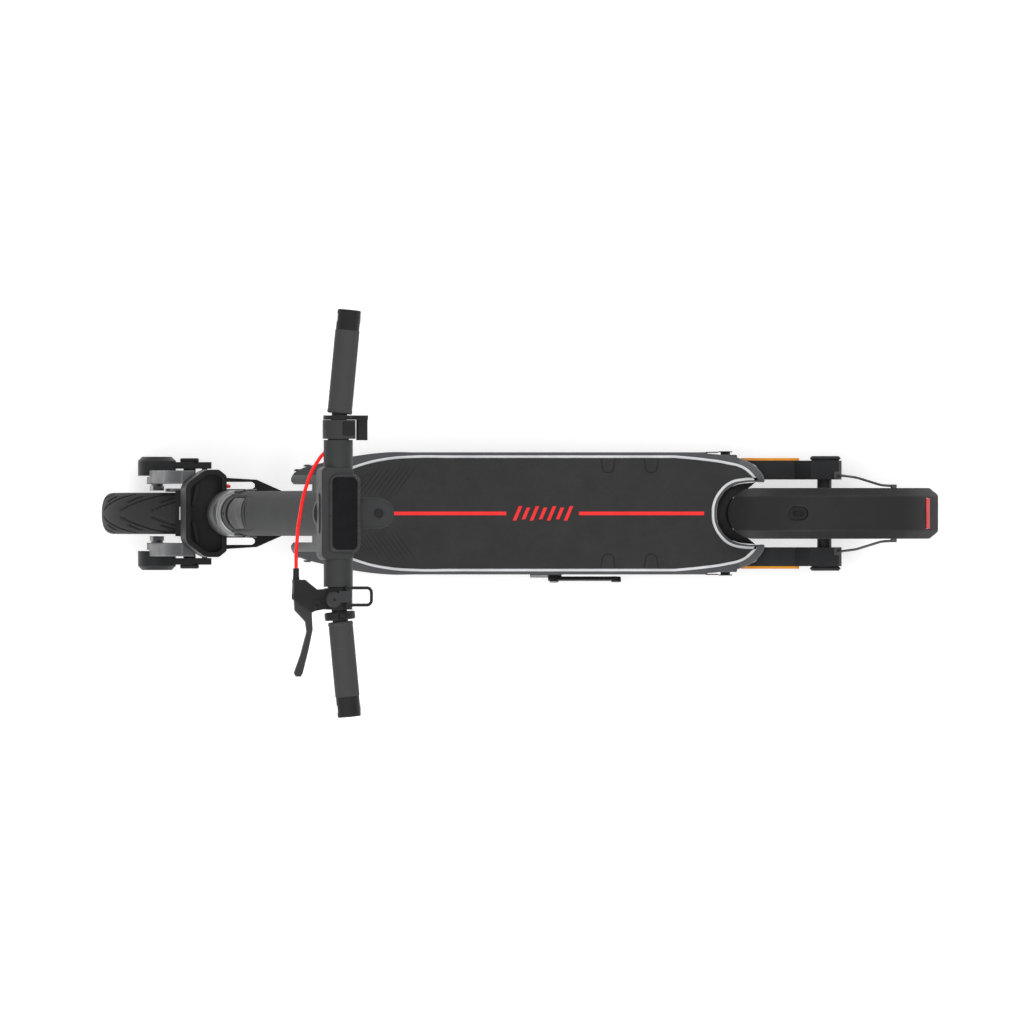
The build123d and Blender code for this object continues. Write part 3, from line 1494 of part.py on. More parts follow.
with BuildPart() as brake_perch:
    with BuildSketch(across_bar(clamp_end)):
        Circle(clamp_radius)
    extrude(amount=clamp_end - clamp_start)
    for plate_low in (perch_gap, -perch_gap - perch_wall):
        with BuildSketch(bar_plane.offset(plate_low)):
            with BuildLine():
                Polyline(*perch_nose, close=True)
            make_face()
            with BuildLine():
                Polyline((8, 107), (24, 107), (24, 134), (8, 134), close=True)
            make_face()
        extrude(amount=perch_wall)
    with BuildSketch(bar_plane.offset(-perch_gap)):
        with BuildLine():
            Polyline(*perch_spine, close=True)
        make_face()
    extrude(amount=2 * perch_gap)
    with BuildSketch(across_bar(clamp_end + 1)):
        Circle(step_radius + 0.05)
    extrude(amount=clamp_end - clamp_start + 2, mode=Mode.SUBTRACT)
    # Barrel adjuster and rubber boot, with the cable's bore through them
    with BuildSketch(across_bar(94)):
        with Locations((60, 0)):
            Circle(4.2)
    extrude(amount=17)
    with BuildSketch(across_bar(94)):
        with Locations((60, 0)):
            Circle(cable_radius + 0.05)
    extrude(amount=17, mode=Mode.SUBTRACT)
    # Lever bolt through both plates
    with BuildSketch(bar_plane.offset(-perch_gap - perch_wall)):
        with Locations(lever_pivot):
            Circle(lever_bolt_radius)
    extrude(amount=2 * perch_gap + 2 * perch_wall)
    with BuildSketch(bar_plane.offset(perch_gap + perch_wall)):
        with Locations(lever_pivot):
            Circle(5.5)
            RegularPolygon(2.5, 6, mode=Mode.SUBTRACT)
    extrude(amount=2.5)
brake_perch.part.label = "brake_perch"
export_step(brake_perch.part, "parts/brake_perch.step")

with BuildPart() as brake_lever:
    with BuildSketch(bar_plane.offset(-lever_half)):
        with BuildLine():
            Polyline(
                (28, 121),
                (45, 119),
                (63, 122),
                (62, 136),
                (47, 152),
                (45, 166),
                (54, 199),
                (63, 224),
                (60, 229),
                (54, 229),
                (51, 224),
                (43, 192),
                (37, 163),
                (38, 146),
                (38, 139),
                (28, 135),
                close=True,
            )
        make_face()
        with Locations(lever_pivot):
            Circle(7.5)
            Circle(lever_bolt_radius + running_fit, mode=Mode.SUBTRACT)
    extrude(amount=2 * lever_half)
brake_lever.part.label = "brake_lever"
export_step(brake_lever.part, "parts/brake_lever.step")

with BuildPart() as upper_brake_cable:
    with BuildLine() as upper_path:
        FilletPolyline(
            bar_point(60, 93.8, 0),
            bar_point(60, 56, 0),
            bar_point(57, 18, -1),
            bar_point(49, -26, -3),
            bar_point(37, -60, -6),
            bar_point(*cable_entry[0]),
            bar_point(*cable_entry[1]),
            radius=[180, 160, 140, 110, 16],
        )
    with BuildSketch(Plane(origin=upper_path.line @ 0, z_dir=upper_path.line % 0)):
        Circle(cable_radius)
    sweep(path=upper_path.line)
upper_brake_cable.part.label = "upper_brake_cable"
export_step(upper_brake_cable.part, "parts/upper_brake_cable.step")

switch_start = 138.0
switch_length = 11.4
with BuildPart() as switch_collar:
    with BuildSketch(along_grip(grip_distance(switch_start))):
        Circle(21.5)
        Circle(bar_end_radius + 0.05, mode=Mode.SUBTRACT)
    extrude(amount=switch_length)
    chamfer(switch_collar.edges().filter_by(GeomType.CIRCLE).group_by(SortBy.RADIUS)[-1], length=1.5)
    with BuildSketch(along_grip(grip_distance(switch_start) + 2)):
        with Locations((21.5, 0)):
            Rectangle(6, 12)
    extrude(amount=7.5, mode=Mode.SUBTRACT)
switch_collar.part.label = "switch_collar"
export_step(switch_collar.part, "parts/switch_collar.step")

with BuildPart() as signal_switch:
    with BuildSketch(along_grip(grip_distance(switch_start) + 3.2)):
        with Locations((20.9, 0)):
            Rectangle(4, 8)
    extrude(amount=5)
signal_switch.part.label = "signal_switch"
export_step(signal_switch.part, "parts/signal_switch.step")

# ------------------------------------------------------------------ bell
bell_spot = (9.7, 121.0)
bell_radius = 11.5
bell_pin_forward = -9.0
bell_pin_up = 24.5
loop_wire = 2.2
with BuildPart() as bell:
    with BuildSketch(bar_plane.offset(clamp_radius - 6)):
        with Locations(bell_spot):
            Circle(8)
    extrude(amount=8)
    with BuildSketch(bar_plane.offset(clamp_radius + 2)):
        with Locations(bell_spot):
            Circle(bell_radius)
    extrude(amount=4.5)
    fillet(bell.faces().sort_by(Axis.Z)[-1].edges(), 3)
    with BuildSketch(bar_plane.offset(clamp_radius + 6.5)):
        with Locations(bell_spot):
            RegularPolygon(2.6, 6)
    extrude(amount=-3, mode=Mode.SUBTRACT)
    # Bracket and pin for the striker loop
    with BuildSketch(across_bar(125)):
        with Locations((-5, clamp_radius + 1.5)):
            Rectangle(16, 9)
    extrude(amount=16)
    with BuildSketch(across_bar(132)):
        with Locations((bell_pin_forward, bell_pin_up)):
            Circle(1.6)
    extrude(amount=31)
    with BuildSketch(across_bar(clamp_end + 1)):
        Circle(clamp_radius)
    extrude(amount=clamp_end - clamp_start + 2, mode=Mode.SUBTRACT)
bell.part.label = "bell"
export_step(bell.part, "parts/bell.step")

loop_low = 104.5
loop_high = 128.5
with BuildPart() as bell_loop:
    with BuildLine() as loop_path:
        FilletPolyline(
            bar_point(bell_pin_forward - 3, loop_low, bell_pin_up - 1),
            bar_point(-45, loop_low, 13),
            bar_point(-45, loop_high, 13),
            bar_point(bell_pin_forward - 3, loop_high, bell_pin_up - 1),
            radius=7,
        )
    with BuildSketch(Plane(origin=loop_path.line @ 0, z_dir=loop_path.line % 0)):
        Circle(loop_wire)
    sweep(path=loop_path.line)
    for eye_left in (loop_low + 2, loop_high + 2):
        with BuildSketch(across_bar(eye_left)):
            with Locations((bell_pin_forward, bell_pin_up)):
                Circle(4)
        extrude(amount=4)
    with BuildSketch(across_bar(clamp_end)):
        with Locations((bell_pin_forward, bell_pin_up)):
            Circle(1.6 + running_fit)
    extrude(amount=clamp_end - clamp_start + 4, mode=Mode.SUBTRACT)
bell_loop.part.label = "bell_loop"
export_step(bell_loop.part, "parts/bell_loop.step")

# ------------------------------------------------------------------ throttle
throttle_start = -104.5
throttle_length = 26.5
throttle_radius = 22.0
paddle_ring = 6.0
with BuildPart() as throttle_housing:
    with BuildSketch(across_bar(throttle_start)):
        Circle(throttle_radius)
        with Locations((-11, 11)):
            Rectangle(20, 21)
    extrude(amount=throttle_length)
    with BuildSketch(across_bar(throttle_start + 1)):
        Circle(step_radius + 0.05)
    extrude(amount=throttle_length + 2, mode=Mode.SUBTRACT)
    with BuildSketch(bar_plane.offset(throttle_radius + 1)):
        with Locations((-11, throttle_start - 14.5)):
            RectangleRounded(16.6, 19.6, 2)
    extrude(amount=-5, mode=Mode.SUBTRACT)
throttle_housing.part.label = "throttle_housing"
export_step(throttle_housing.part, "parts/throttle_housing.step")

with BuildPart() as mode_button:
    with BuildSketch(bar_plane.offset(20)):
        with Locations((-11, throttle_start - 14.5)):
            RectangleRounded(16, 19, 2)
    extrude(amount=3.2)
    fillet(mode_button.faces().sort_by(Axis.Z)[-1].edges(), 0.8)
mode_button.part.label = "mode_button"
export_step(mode_button.part, "parts/mode_button.step")

paddle_start = throttle_start - throttle_length - 0.4
with BuildPart() as throttle_paddle:
    with BuildSketch(across_bar(paddle_start)):
        Circle(throttle_radius - 1)
        with Locations((-28, -2)):
            Rectangle(28, 9)
        Circle(step_radius + 1.2, mode=Mode.SUBTRACT)
    extrude(amount=paddle_ring)
    with BuildSketch(across_bar(throttle_start + 2)):
        with Locations((-34, -2)):
            RectangleRounded(16, 7, 3)
    extrude(amount=throttle_length + 2.4 + paddle_ring)
throttle_paddle.part.label = "throttle_paddle"
export_step(throttle_paddle.part, "parts/throttle_paddle.step")
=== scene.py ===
"""Looks of an electric kick scooter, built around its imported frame.

The frame has +X forward, +Y to the rider's left and +Z up, in metres, with its origin on the ground
under the middle of the scooter. Every class below holds the sizes of one sub-assembly, builds the
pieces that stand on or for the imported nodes, and dresses the nodes whose shape is already right.
"""

import logging
import math
from collections.abc import Callable, Sequence
from dataclasses import dataclass
from enum import Enum

import bmesh
import bpy
from mathutils import Matrix, Vector

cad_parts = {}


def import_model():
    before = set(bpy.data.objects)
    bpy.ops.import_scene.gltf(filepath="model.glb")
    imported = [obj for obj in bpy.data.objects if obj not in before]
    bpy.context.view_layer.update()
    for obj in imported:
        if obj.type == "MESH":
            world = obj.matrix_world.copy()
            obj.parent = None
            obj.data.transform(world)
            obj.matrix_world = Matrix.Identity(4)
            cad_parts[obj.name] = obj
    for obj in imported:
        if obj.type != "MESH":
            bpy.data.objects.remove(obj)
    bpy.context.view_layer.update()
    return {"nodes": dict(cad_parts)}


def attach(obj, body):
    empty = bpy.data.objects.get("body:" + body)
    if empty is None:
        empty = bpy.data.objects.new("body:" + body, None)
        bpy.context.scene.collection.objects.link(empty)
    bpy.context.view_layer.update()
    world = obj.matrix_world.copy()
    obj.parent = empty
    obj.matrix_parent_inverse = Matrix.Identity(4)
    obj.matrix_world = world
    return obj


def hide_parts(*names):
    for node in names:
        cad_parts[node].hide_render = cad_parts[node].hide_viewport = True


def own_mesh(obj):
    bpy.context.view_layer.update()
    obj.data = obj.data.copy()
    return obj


log = logging.getLogger("scooter")

Point = tuple[float, float, float]
Flat = tuple[float, float]
Colour = tuple[float, float, float]


# ------------------------------------------------------------------ finishes
class Grain(Enum):
    """Kinds of fine surface relief."""

    PAINT = "orange peel of a sprayed coat"
    CAST = "sand-blasted casting under paint"
    MOULDED = "spark-eroded moulded plastic"
    RUBBER = "matt rubber"
    BRUSHED = "fine lines along X"
    TURNED = "fine lines round Z"
    PIMPLED = "rows of small grip pimples"
    GLASS = "polished, with faint dust"
    WRAP = "wrinkled shrink film"


@dataclass(frozen=True)
class Finish:
    """One material, with the colours and relief that its surface shows.

    Attributes:
        name: The material's name.
        colour: Main colour, linear.
        tint: Second colour, which slow cloudy patches bring in.
        roughness: Mean roughness.
        grain: Kind of fine relief.
        size: Distance between grains, in metres.
        depth: Height of the relief, in metres.
        metallic: Share of bare metal.
        coat: Clear coat over the colour.
        edge_highlight: Lighter colour painted along sharp edges as a highlight, in speckled patches, or None.
        rounding: Radius of the highlight along sharp edges, in metres.
        glassy: Transmission of a clear or tinted lens.
        groove_shade: Colour painted down in the grooves as shade, on a piece with a groove attribute, or None.
        glow: Strength of light given off in the main colour.
        shine: Strength of the surface's own reflection.
        spread: How far the roughness wanders to each side of its mean.
    """

    name: str
    colour: Colour
    tint: Colour
    roughness: float
    grain: Grain
    size: float = 0.0012
    depth: float = 0.00004
    metallic: float = 0.0
    coat: float = 0.0
    edge_highlight: Colour | None = None
    rounding: float = 0.0
    glassy: float = 0.0
    groove_shade: Colour | None = None
    glow: float = 0.0
    shine: float = 0.2
    spread: float = 0.08

    def material(self) -> bpy.types.Material:
        """Returns this finish's material, made on first use."""
        found = bpy.data.materials.get(self.name)
        return found if found else FinishGraph(self).material


class FinishGraph:
    """Builds the node graph of one finish."""

    def __init__(self, finish: Finish) -> None:
        """Makes the material.

        Args:
            finish: The finish to build.
        """
        self.finish = finish
        self.material = bpy.data.materials.new(finish.name)
        self.material.use_nodes = True
        self.tree = self.material.node_tree
        self.shader = self.tree.nodes["Principled BSDF"]
        self.place = self.add("ShaderNodeTexCoord", {}).outputs["Object"]
        self.constants()
        self.colours()
        self.relief()

    def add(self, kind: str, inputs: dict, **settings: object) -> bpy.types.Node:
        """Adds a node.

        Args:
            kind: The node's type.
            inputs: A value or an output socket for each input, by name or number.
            **settings: Properties of the node.

        Returns:
            The new node.
        """
        node = self.tree.nodes.new(kind)
        for key, value in settings.items():
            setattr(node, key, value)
        for key, value in inputs.items():
            if isinstance(value, bpy.types.NodeSocket):
                self.tree.links.new(value, node.inputs[key])
            else:
                node.inputs[key].default_value = value
        return node

    def stretched(self, scale: Point, turn: Point = (0, 0, 0)) -> bpy.types.NodeSocket:
        """Returns the object coordinates, turned and then scaled along each axis."""
        node = self.add("ShaderNodeMapping", {"Vector": self.place, "Scale": scale, "Rotation": turn})
        return node.outputs["Vector"]

    def noise(self, size: float, detail: float, vector: bpy.types.NodeSocket) -> bpy.types.NodeSocket:
        """Returns cloudy noise whose patches are about this size in metres."""
        settings = {"Vector": vector, "Scale": 1 / size, "Detail": detail, "Roughness": 0.6}
        return self.add("ShaderNodeTexNoise", settings).outputs["Fac"]

    def ranged(self, value: bpy.types.NodeSocket, low: float, high: float, to: Flat) -> bpy.types.NodeSocket:
        """Returns value mapped from low..high to the range `to`, held at its ends."""
        settings = {"Value": value, "From Min": low, "From Max": high, "To Min": to[0], "To Max": to[1]}
        return self.add("ShaderNodeMapRange", settings, clamp=True).outputs["Result"]

    def mixed(self, share: object, a: object, b: object) -> bpy.types.NodeSocket:
        """Returns a mix of two colours, given as tuples or sockets."""
        pair = [c if isinstance(c, bpy.types.NodeSocket) else (*c, 1.0) for c in (a, b)]
        settings = {"Factor": share, 6: pair[0], 7: pair[1]}
        return self.add("ShaderNodeMix", settings, data_type="RGBA").outputs[2]

    def sum(self, a: object, b: object, operation: str = "ADD") -> bpy.types.NodeSocket:
        """Returns the result of one arithmetic step on two numbers."""
        return self.add("ShaderNodeMath", {0: a, 1: b}, operation=operation).outputs[0]

    def constants(self) -> None:
        """Sets the numbers that are the same all over the surface."""
        finish = self.finish
        values = {
            "Metallic": finish.metallic,
            "Coat Weight": finish.coat,
            "Coat Roughness": 0.06,
            "Transmission Weight": finish.glassy,
            "IOR": 1.5,
            "Specular IOR Level": finish.shine,
            "Emission Strength": finish.glow,
            "Emission Color": (*finish.colour, 1.0),
        }
        for key, value in values.items():
            self.shader.inputs[key].default_value = value

    def colours(self) -> None:
        """Builds the base colour and the roughness."""
        finish = self.finish
        patches = self.noise(0.035, 5, self.place)
        specks = self.noise(finish.size * 1.7, 3, self.place)
        base = self.mixed(self.ranged(patches, 0.35, 0.65, (0, 1)), finish.colour, finish.tint)
        darker = tuple(0.72 * c for c in finish.colour)
        base = self.mixed(self.ranged(specks, 0.5, 0.75, (0, 0.35)), base, darker)
        self.round_normal = None
        if finish.rounding:
            edge = self.add("ShaderNodeBevel", {"Radius": finish.rounding}, samples=4)
            self.round_normal = edge.outputs["Normal"]
        # Painted highlight: a lighter colour along sharp edges, where the rounded normal turns away from the flat one,
        # broken up by specks.
        if finish.edge_highlight and self.round_normal:
            flat_normal = self.add("ShaderNodeNewGeometry", {}).outputs["Normal"]
            turned = self.add(
                "ShaderNodeVectorMath", {0: self.round_normal, 1: flat_normal}, operation="DOT_PRODUCT"
            ).outputs["Value"]
            edge_share = self.ranged(turned, 0.995, 0.9, (0, 1))
            highlight_patches = self.sum(edge_share, self.ranged(specks, 0.4, 0.6, (0.25, 0.7)), "MULTIPLY")
            base = self.mixed(highlight_patches, base, finish.edge_highlight)
        # Painted shade: a darker colour down in the grooves, as deep as the groove attribute says.
        if finish.groove_shade:
            depth = self.add("ShaderNodeAttribute", {}, attribute_name="groove_shade").outputs["Fac"]
            base = self.mixed(depth, base, finish.groove_shade)
        self.tree.links.new(base, self.shader.inputs["Base Color"])
        span = (max(0.02, finish.roughness - finish.spread), min(1.0, finish.roughness + finish.spread))
        self.tree.links.new(self.ranged(patches, 0.3, 0.7, span), self.shader.inputs["Roughness"])

    def height(self) -> bpy.types.NodeSocket:
        """Returns the relief of this finish's grain, from 0 to 1."""
        size = self.finish.size
        grain = self.finish.grain
        if grain is Grain.BRUSHED:
            return self.noise(size, 3, self.stretched((0.04, 1, 1)))
        if grain is Grain.TURNED:
            return self.noise(size, 2, self.stretched((0.05, 0.05, 1)))
        if grain is Grain.MOULDED:
            cells = self.add("ShaderNodeTexVoronoi", {"Vector": self.place, "Scale": 1 / size})
            return self.sum(cells.outputs["Distance"], self.noise(size / 2, 2, self.place))
        if grain is Grain.PIMPLED:
            cells = self.add(
                "ShaderNodeTexVoronoi",
                {"Vector": self.stretched((1, 1, 0), (0, 0, math.pi / 4)), "Scale": 1 / size, "Randomness": 0.0},
            )
            round_top = self.ranged(cells.outputs["Distance"], 0.2, 0.45, (1, 0))
            return self.sum(round_top, self.noise(size / 4, 2, self.place))
        if grain is Grain.WRAP:
            return self.noise(size * 6, 3, self.stretched((0.2, 1, 1)))
        detail = 8 if grain is Grain.CAST else 3
        return self.noise(size, detail, self.place)

    def relief(self) -> None:
        """Builds the bump, on rounded edges where the finish has them."""
        inputs = {"Height": self.height(), "Strength": 0.6, "Distance": self.finish.depth}
        if self.round_normal:
            inputs["Normal"] = self.round_normal
        bump = self.add("ShaderNodeBump", inputs)
        self.tree.links.new(bump.outputs["Normal"], self.shader.inputs["Normal"])


# The lighter edge colour that a finish below gives is a painted edge highlight.
FRAME_GREY = Finish(
    "frame_grey_coat", (0.075, 0.077, 0.08), (0.066, 0.068, 0.071), 0.4, Grain.CAST,
    size=0.0009, depth=0.00005, edge_highlight=(0.16, 0.16, 0.165), rounding=0.0022,
)
STEM_GREY = Finish(
    "stem_grey_coat", (0.031, 0.0315, 0.0325), (0.028, 0.0285, 0.0295), 0.5, Grain.PAINT,
    size=0.0008, depth=0.00003, edge_highlight=(0.075, 0.075, 0.078), rounding=0.0012,
)
STEM_SLEEVE = Finish(
    "stem_sleeve_coat", (0.034, 0.0345, 0.0355), (0.032, 0.0325, 0.0335), 0.62, Grain.PAINT,
    size=0.0008, depth=0.00001, shine=0.06, spread=0.01,
)
FORK_GREY = Finish(
    "fork_grey_coat", (0.12, 0.122, 0.126), (0.108, 0.11, 0.114), 0.42, Grain.PAINT,
    size=0.001, depth=0.00004, metallic=0.35, edge_highlight=(0.4, 0.4, 0.41), rounding=0.004,
)
CAST_BLACK = Finish(
    "black_cast_coat", (0.011, 0.011, 0.0115), (0.014, 0.014, 0.0145), 0.46, Grain.CAST,
    size=0.0009, depth=0.00006, edge_highlight=(0.04, 0.04, 0.041), rounding=0.0016,
)
ARM_GREY = Finish(
    "arm_grey_coat", (0.026, 0.0265, 0.028), (0.022, 0.0225, 0.024), 0.44, Grain.CAST,
    size=0.0009, depth=0.00005, edge_highlight=(0.06, 0.06, 0.062), rounding=0.0018,
)
BLACK_PLASTIC = Finish(
    "black_moulding", (0.012, 0.012, 0.0125), (0.015, 0.015, 0.0155), 0.5, Grain.MOULDED,
    size=0.0011, depth=0.00005, edge_highlight=(0.05, 0.05, 0.05), rounding=0.001,
)
FENDER_PLASTIC = Finish(
    "fender_moulding", (0.022, 0.022, 0.0228), (0.019, 0.019, 0.0198), 0.44, Grain.MOULDED,
    size=0.0012, depth=0.00005, edge_highlight=(0.07, 0.07, 0.07), rounding=0.004,
)
GLOSS_BLACK = Finish(
    "gloss_black_rim", (0.02, 0.02, 0.021), (0.024, 0.024, 0.025), 0.3, Grain.PAINT,
    size=0.003, depth=0.00001, shine=0.5,
)
SCREEN_GLASS = Finish(
    "screen_glass", (0.004, 0.004, 0.005), (0.006, 0.006, 0.007), 0.1, Grain.GLASS,
    size=0.006, depth=0.000004, shine=0.22, spread=0.03,
)
DECK_RUBBER = Finish(
    "deck_rubber_mat", (0.032, 0.032, 0.033), (0.029, 0.029, 0.03), 0.74, Grain.PIMPLED,
    size=0.0034, depth=0.00035,
)
RIDGE_RUBBER = Finish(
    "ridge_rubber", (0.012, 0.012, 0.012), (0.016, 0.016, 0.016), 0.68, Grain.RUBBER,
    size=0.0008, depth=0.00005,
)
# The groove colour of the tyre and grip rubber is painted shade down in their grooves.
TYRE_RUBBER = Finish(
    "tyre_rubber", (0.085, 0.085, 0.086), (0.074, 0.074, 0.075), 0.68, Grain.RUBBER,
    size=0.0011, depth=0.0001, groove_shade=(0.006, 0.006, 0.006),
)
GRIP_RUBBER = Finish(
    "grip_rubber", (0.007, 0.007, 0.007), (0.009, 0.009, 0.009), 0.64, Grain.RUBBER,
    size=0.0009, depth=0.0001, shine=0.08, groove_shade=(0.006, 0.006, 0.006),
)
SILVER = Finish(
    "satin_silver", (0.32, 0.322, 0.327), (0.27, 0.272, 0.277), 0.42, Grain.BRUSHED,
    size=0.0008, depth=0.00002, metallic=1.0, edge_highlight=(0.8, 0.8, 0.8), rounding=0.0012,
)
STEEL = Finish(
    "zinc_steel", (0.33, 0.335, 0.345), (0.24, 0.245, 0.255), 0.34, Grain.TURNED,
    size=0.0008, depth=0.00003, metallic=1.0, edge_highlight=(0.55, 0.55, 0.56), rounding=0.0005,
)
DARK_STEEL = Finish(
    "black_oxide_steel", (0.035, 0.035, 0.037), (0.05, 0.05, 0.052), 0.36, Grain.CAST,
    size=0.0007, depth=0.00003, metallic=0.7, edge_highlight=(0.2, 0.2, 0.205), rounding=0.0005,
)
STAY_STEEL = Finish(
    "grey_stay_wire", (0.13, 0.132, 0.136), (0.09, 0.092, 0.096), 0.4, Grain.BRUSHED,
    size=0.0008, depth=0.00002, metallic=0.6,
)
TRIM_WHITE = Finish(
    "trim_line_white", (0.72, 0.73, 0.74), (0.62, 0.63, 0.64), 0.35, Grain.PAINT,
    size=0.0009, depth=0.00002, metallic=0.2,
)
LINE_RED = Finish(
    "deck_line_red", (0.85, 0.035, 0.035), (0.75, 0.03, 0.03), 0.55, Grain.RUBBER,
    size=0.0009, depth=0.00005,
)
CABLE_RED = Finish(
    "cable_red", (0.86, 0.012, 0.01), (0.74, 0.01, 0.01), 0.32, Grain.PAINT,
    size=0.0009, depth=0.00003, coat=0.3,
)
# The amber reflector's glow is painted light: a reflector gives off no light of its own.
AMBER = Finish(
    "amber_reflector", (0.85, 0.33, 0.02), (0.75, 0.26, 0.015), 0.16, Grain.PIMPLED,
    size=0.0022, depth=0.0002, coat=0.8, glow=0.06,
)
RED_LENS = Finish(
    "red_lamp_lens", (0.55, 0.006, 0.008), (0.36, 0.004, 0.006), 0.14, Grain.PIMPLED,
    size=0.0026, depth=0.0003, coat=0.9, glow=0.12,
)
CLEAR_LENS = Finish(
    "clear_lamp_lens", (0.78, 0.79, 0.8), (0.68, 0.69, 0.7), 0.12, Grain.PIMPLED,
    size=0.0024, depth=0.0003, coat=1.0, metallic=0.25,
)
SMOKED_LENS = Finish(
    "smoked_lamp_lens", (0.03, 0.03, 0.032), (0.036, 0.036, 0.038), 0.42, Grain.PIMPLED,
    size=0.003, depth=0.0002, shine=0.1,
)
WHITE_REFLECTOR = Finish(
    "white_reflector", (0.75, 0.75, 0.75), (0.6, 0.6, 0.6), 0.2, Grain.PIMPLED,
    size=0.0016, depth=0.0002, coat=0.8,
)
SHRINK_BLUE = Finish(
    "battery_shrink_film", (0.02, 0.07, 0.2), (0.015, 0.05, 0.16), 0.24, Grain.WRAP,
    size=0.004, depth=0.0003, coat=0.4,
)
BARE_ALLOY = Finish(
    "bare_alloy", (0.42, 0.425, 0.43), (0.34, 0.345, 0.35), 0.42, Grain.BRUSHED,
    size=0.0007, depth=0.00003, metallic=0.9, rounding=0.0006,
)
COPPER_CORE = Finish(
    "wound_stator", (0.35, 0.12, 0.05), (0.25, 0.09, 0.04), 0.36, Grain.TURNED,
    size=0.0014, depth=0.0003, metallic=0.8,
)

NODE_FINISHES: dict[str, Finish] = {
    "bottom_cover": BLACK_PLASTIC,
    "battery_pack": SHRINK_BLUE,
    "controller": BARE_ALLOY,
    "neck": CAST_BLACK,
    "head_tube": SILVER,
    "headset_bearings": STEEL,
    "kickstand_bracket": DARK_STEEL,
    "rear_pivot_shaft": DARK_STEEL,
    "kickstand_leg": CAST_BLACK,
    "rear_swingarm": ARM_GREY,
    "rear_axle": DARK_STEEL,
    "rear_reflectors": AMBER,
    "rear_fender": FENDER_PLASTIC,
    "tail_light": RED_LENS,
    "fender_stays": STAY_STEEL,
    "latch_button": BLACK_PLASTIC,
    "motor_shell": CAST_BLACK,
    "motor_covers": ARM_GREY,
    "steerer_tube": STEEL,
    "fork_crown": CAST_BLACK,
    "fork_legs": FORK_GREY,
    "pivot_bolts": STEEL,
    "shock_bodies": DARK_STEEL,
    "shock_rods": STEEL,
    "fold_base": CAST_BLACK,
    "lower_brake_cable": CABLE_RED,
    "front_fender": BLACK_PLASTIC,
    "front_swing_arms": ARM_GREY,
    "front_axle": DARK_STEEL,
    "brake_backplate": BARE_ALLOY,
    "brake_arm": STEEL,
    "front_rim": CAST_BLACK,
    "front_bearings": STEEL,
    "stem_tube": STEM_SLEEVE,
    "stem_head": STEM_GREY,
    "headlight": SMOKED_LENS,
    "handlebar": STEM_GREY,
    "bar_ends": BLACK_PLASTIC,
    "brake_perch": CAST_BLACK,
    "upper_brake_cable": CABLE_RED,
    "switch_collar": BLACK_PLASTIC,
    "bell": STEM_GREY,
    "throttle_housing": STEM_GREY,
    "fold_latch": CAST_BLACK,
    "power_button": BLACK_PLASTIC,
    "mode_button": BLACK_PLASTIC,
    "brake_lever": STEM_GREY,
    "signal_switch": BLACK_PLASTIC,
    "bell_loop": CAST_BLACK,
    "throttle_paddle": BLACK_PLASTIC,
}


# ------------------------------------------------------------------ mesh tools
@dataclass(frozen=True)
class SteeringFrame:
    """Axes of the leaning stem: x across it, y to the left and z up along it.

    Attributes:
        ground_x: Where the steering axis meets the ground.
        tilt: Lean of the axis backwards, in degrees.
        bar_height: Height of the handlebar's middle.
        sweep: How far each end of the bar turns back, in degrees.
        sweep_start: Distance from the middle at which the sweep begins.
    """

    ground_x: float = 0.4795
    tilt: float = 10.3
    bar_height: float = 1.238
    sweep: float = 5.5
    sweep_start: float = 0.12

    def at(self, along: float) -> Matrix:
        """Returns the matrix to the row frame of axes centred this far along the stem."""
        lean = Matrix.Rotation(-math.radians(self.tilt), 4, "Y")
        return Matrix.Translation((self.ground_x, 0, 0)) @ lean @ Matrix.Translation((0, 0, along))

    def bar(self) -> Matrix:
        """Returns the matrix of axes at the middle of the handlebar."""
        return self.at(self.bar_height / math.cos(math.radians(self.tilt)))

    def grip(self, left: float, side: int) -> Matrix:
        """Gives axes on the swept part of the bar, with z along it.

        Args:
            left: Distance from the middle, measured square to the stem's side.
            side: 1 for the left end and -1 for the right end.

        Returns:
            A matrix whose x points forwards, y downwards on the left, and z outwards.
        """
        angle = math.radians(self.sweep)
        along = (left - self.sweep_start) / math.cos(angle)
        start = Vector((-math.sin(angle) * along, side * left, 0))
        turn = Matrix.Rotation(side * angle, 4, "Z") @ Matrix.Rotation(-side * math.pi / 2, 4, "X")
        return self.bar() @ Matrix.Translation(start) @ turn


STEER = SteeringFrame()


def chain(bm: bmesh.types.BMesh, points: Sequence[Point], closed: bool) -> list:
    """Adds a run of edges through a few points.

    Args:
        bm: The mesh to add to.
        points: The corners of the run.
        closed: Whether the last point joins the first.

    Returns:
        The new vertices and edges.
    """
    verts = [bm.verts.new(p) for p in points]
    pairs = list(zip(verts, verts[1:]))
    if closed:
        pairs.append((verts[-1], verts[0]))
    return verts + [bm.edges.new(pair) for pair in pairs]


def turned(profile: Sequence[Flat], steps: int, closed: bool = False) -> bmesh.types.BMesh:
    """Turns a profile of (radius, height) points fully round Z.

    Args:
        profile: Points of the section. A radius of 0 closes a pole.
        steps: Number of steps round.
        closed: Whether the section is a closed loop.

    Returns:
        The turned mesh, with its poles merged.
    """
    bm = bmesh.new()
    geometry = chain(bm, [(r, 0, z) for r, z in profile], closed)
    bmesh.ops.spin(
        bm, geom=geometry, cent=(0, 0, 0), axis=(0, 0, 1), dvec=(0, 0, 0),
        angle=2 * math.pi, steps=steps, use_merge=True, use_duplicate=False,
    )
    bmesh.ops.remove_doubles(bm, verts=bm.verts, dist=1e-6)
    return bm


def from_curve(curve: bpy.types.Curve) -> bmesh.types.BMesh:
    """Takes the mesh of a curve and deletes the curve."""
    holder = bpy.data.objects.new("holder", curve)
    bpy.context.scene.collection.objects.link(holder)
    bpy.context.view_layer.update()
    mesh = bpy.data.meshes.new_from_object(holder.evaluated_get(bpy.context.evaluated_depsgraph_get()))
    bm = bmesh.new()
    bm.from_mesh(mesh)
    bpy.data.objects.remove(holder)
    bpy.data.curves.remove(curve)
    bpy.data.meshes.remove(mesh)
    return bm


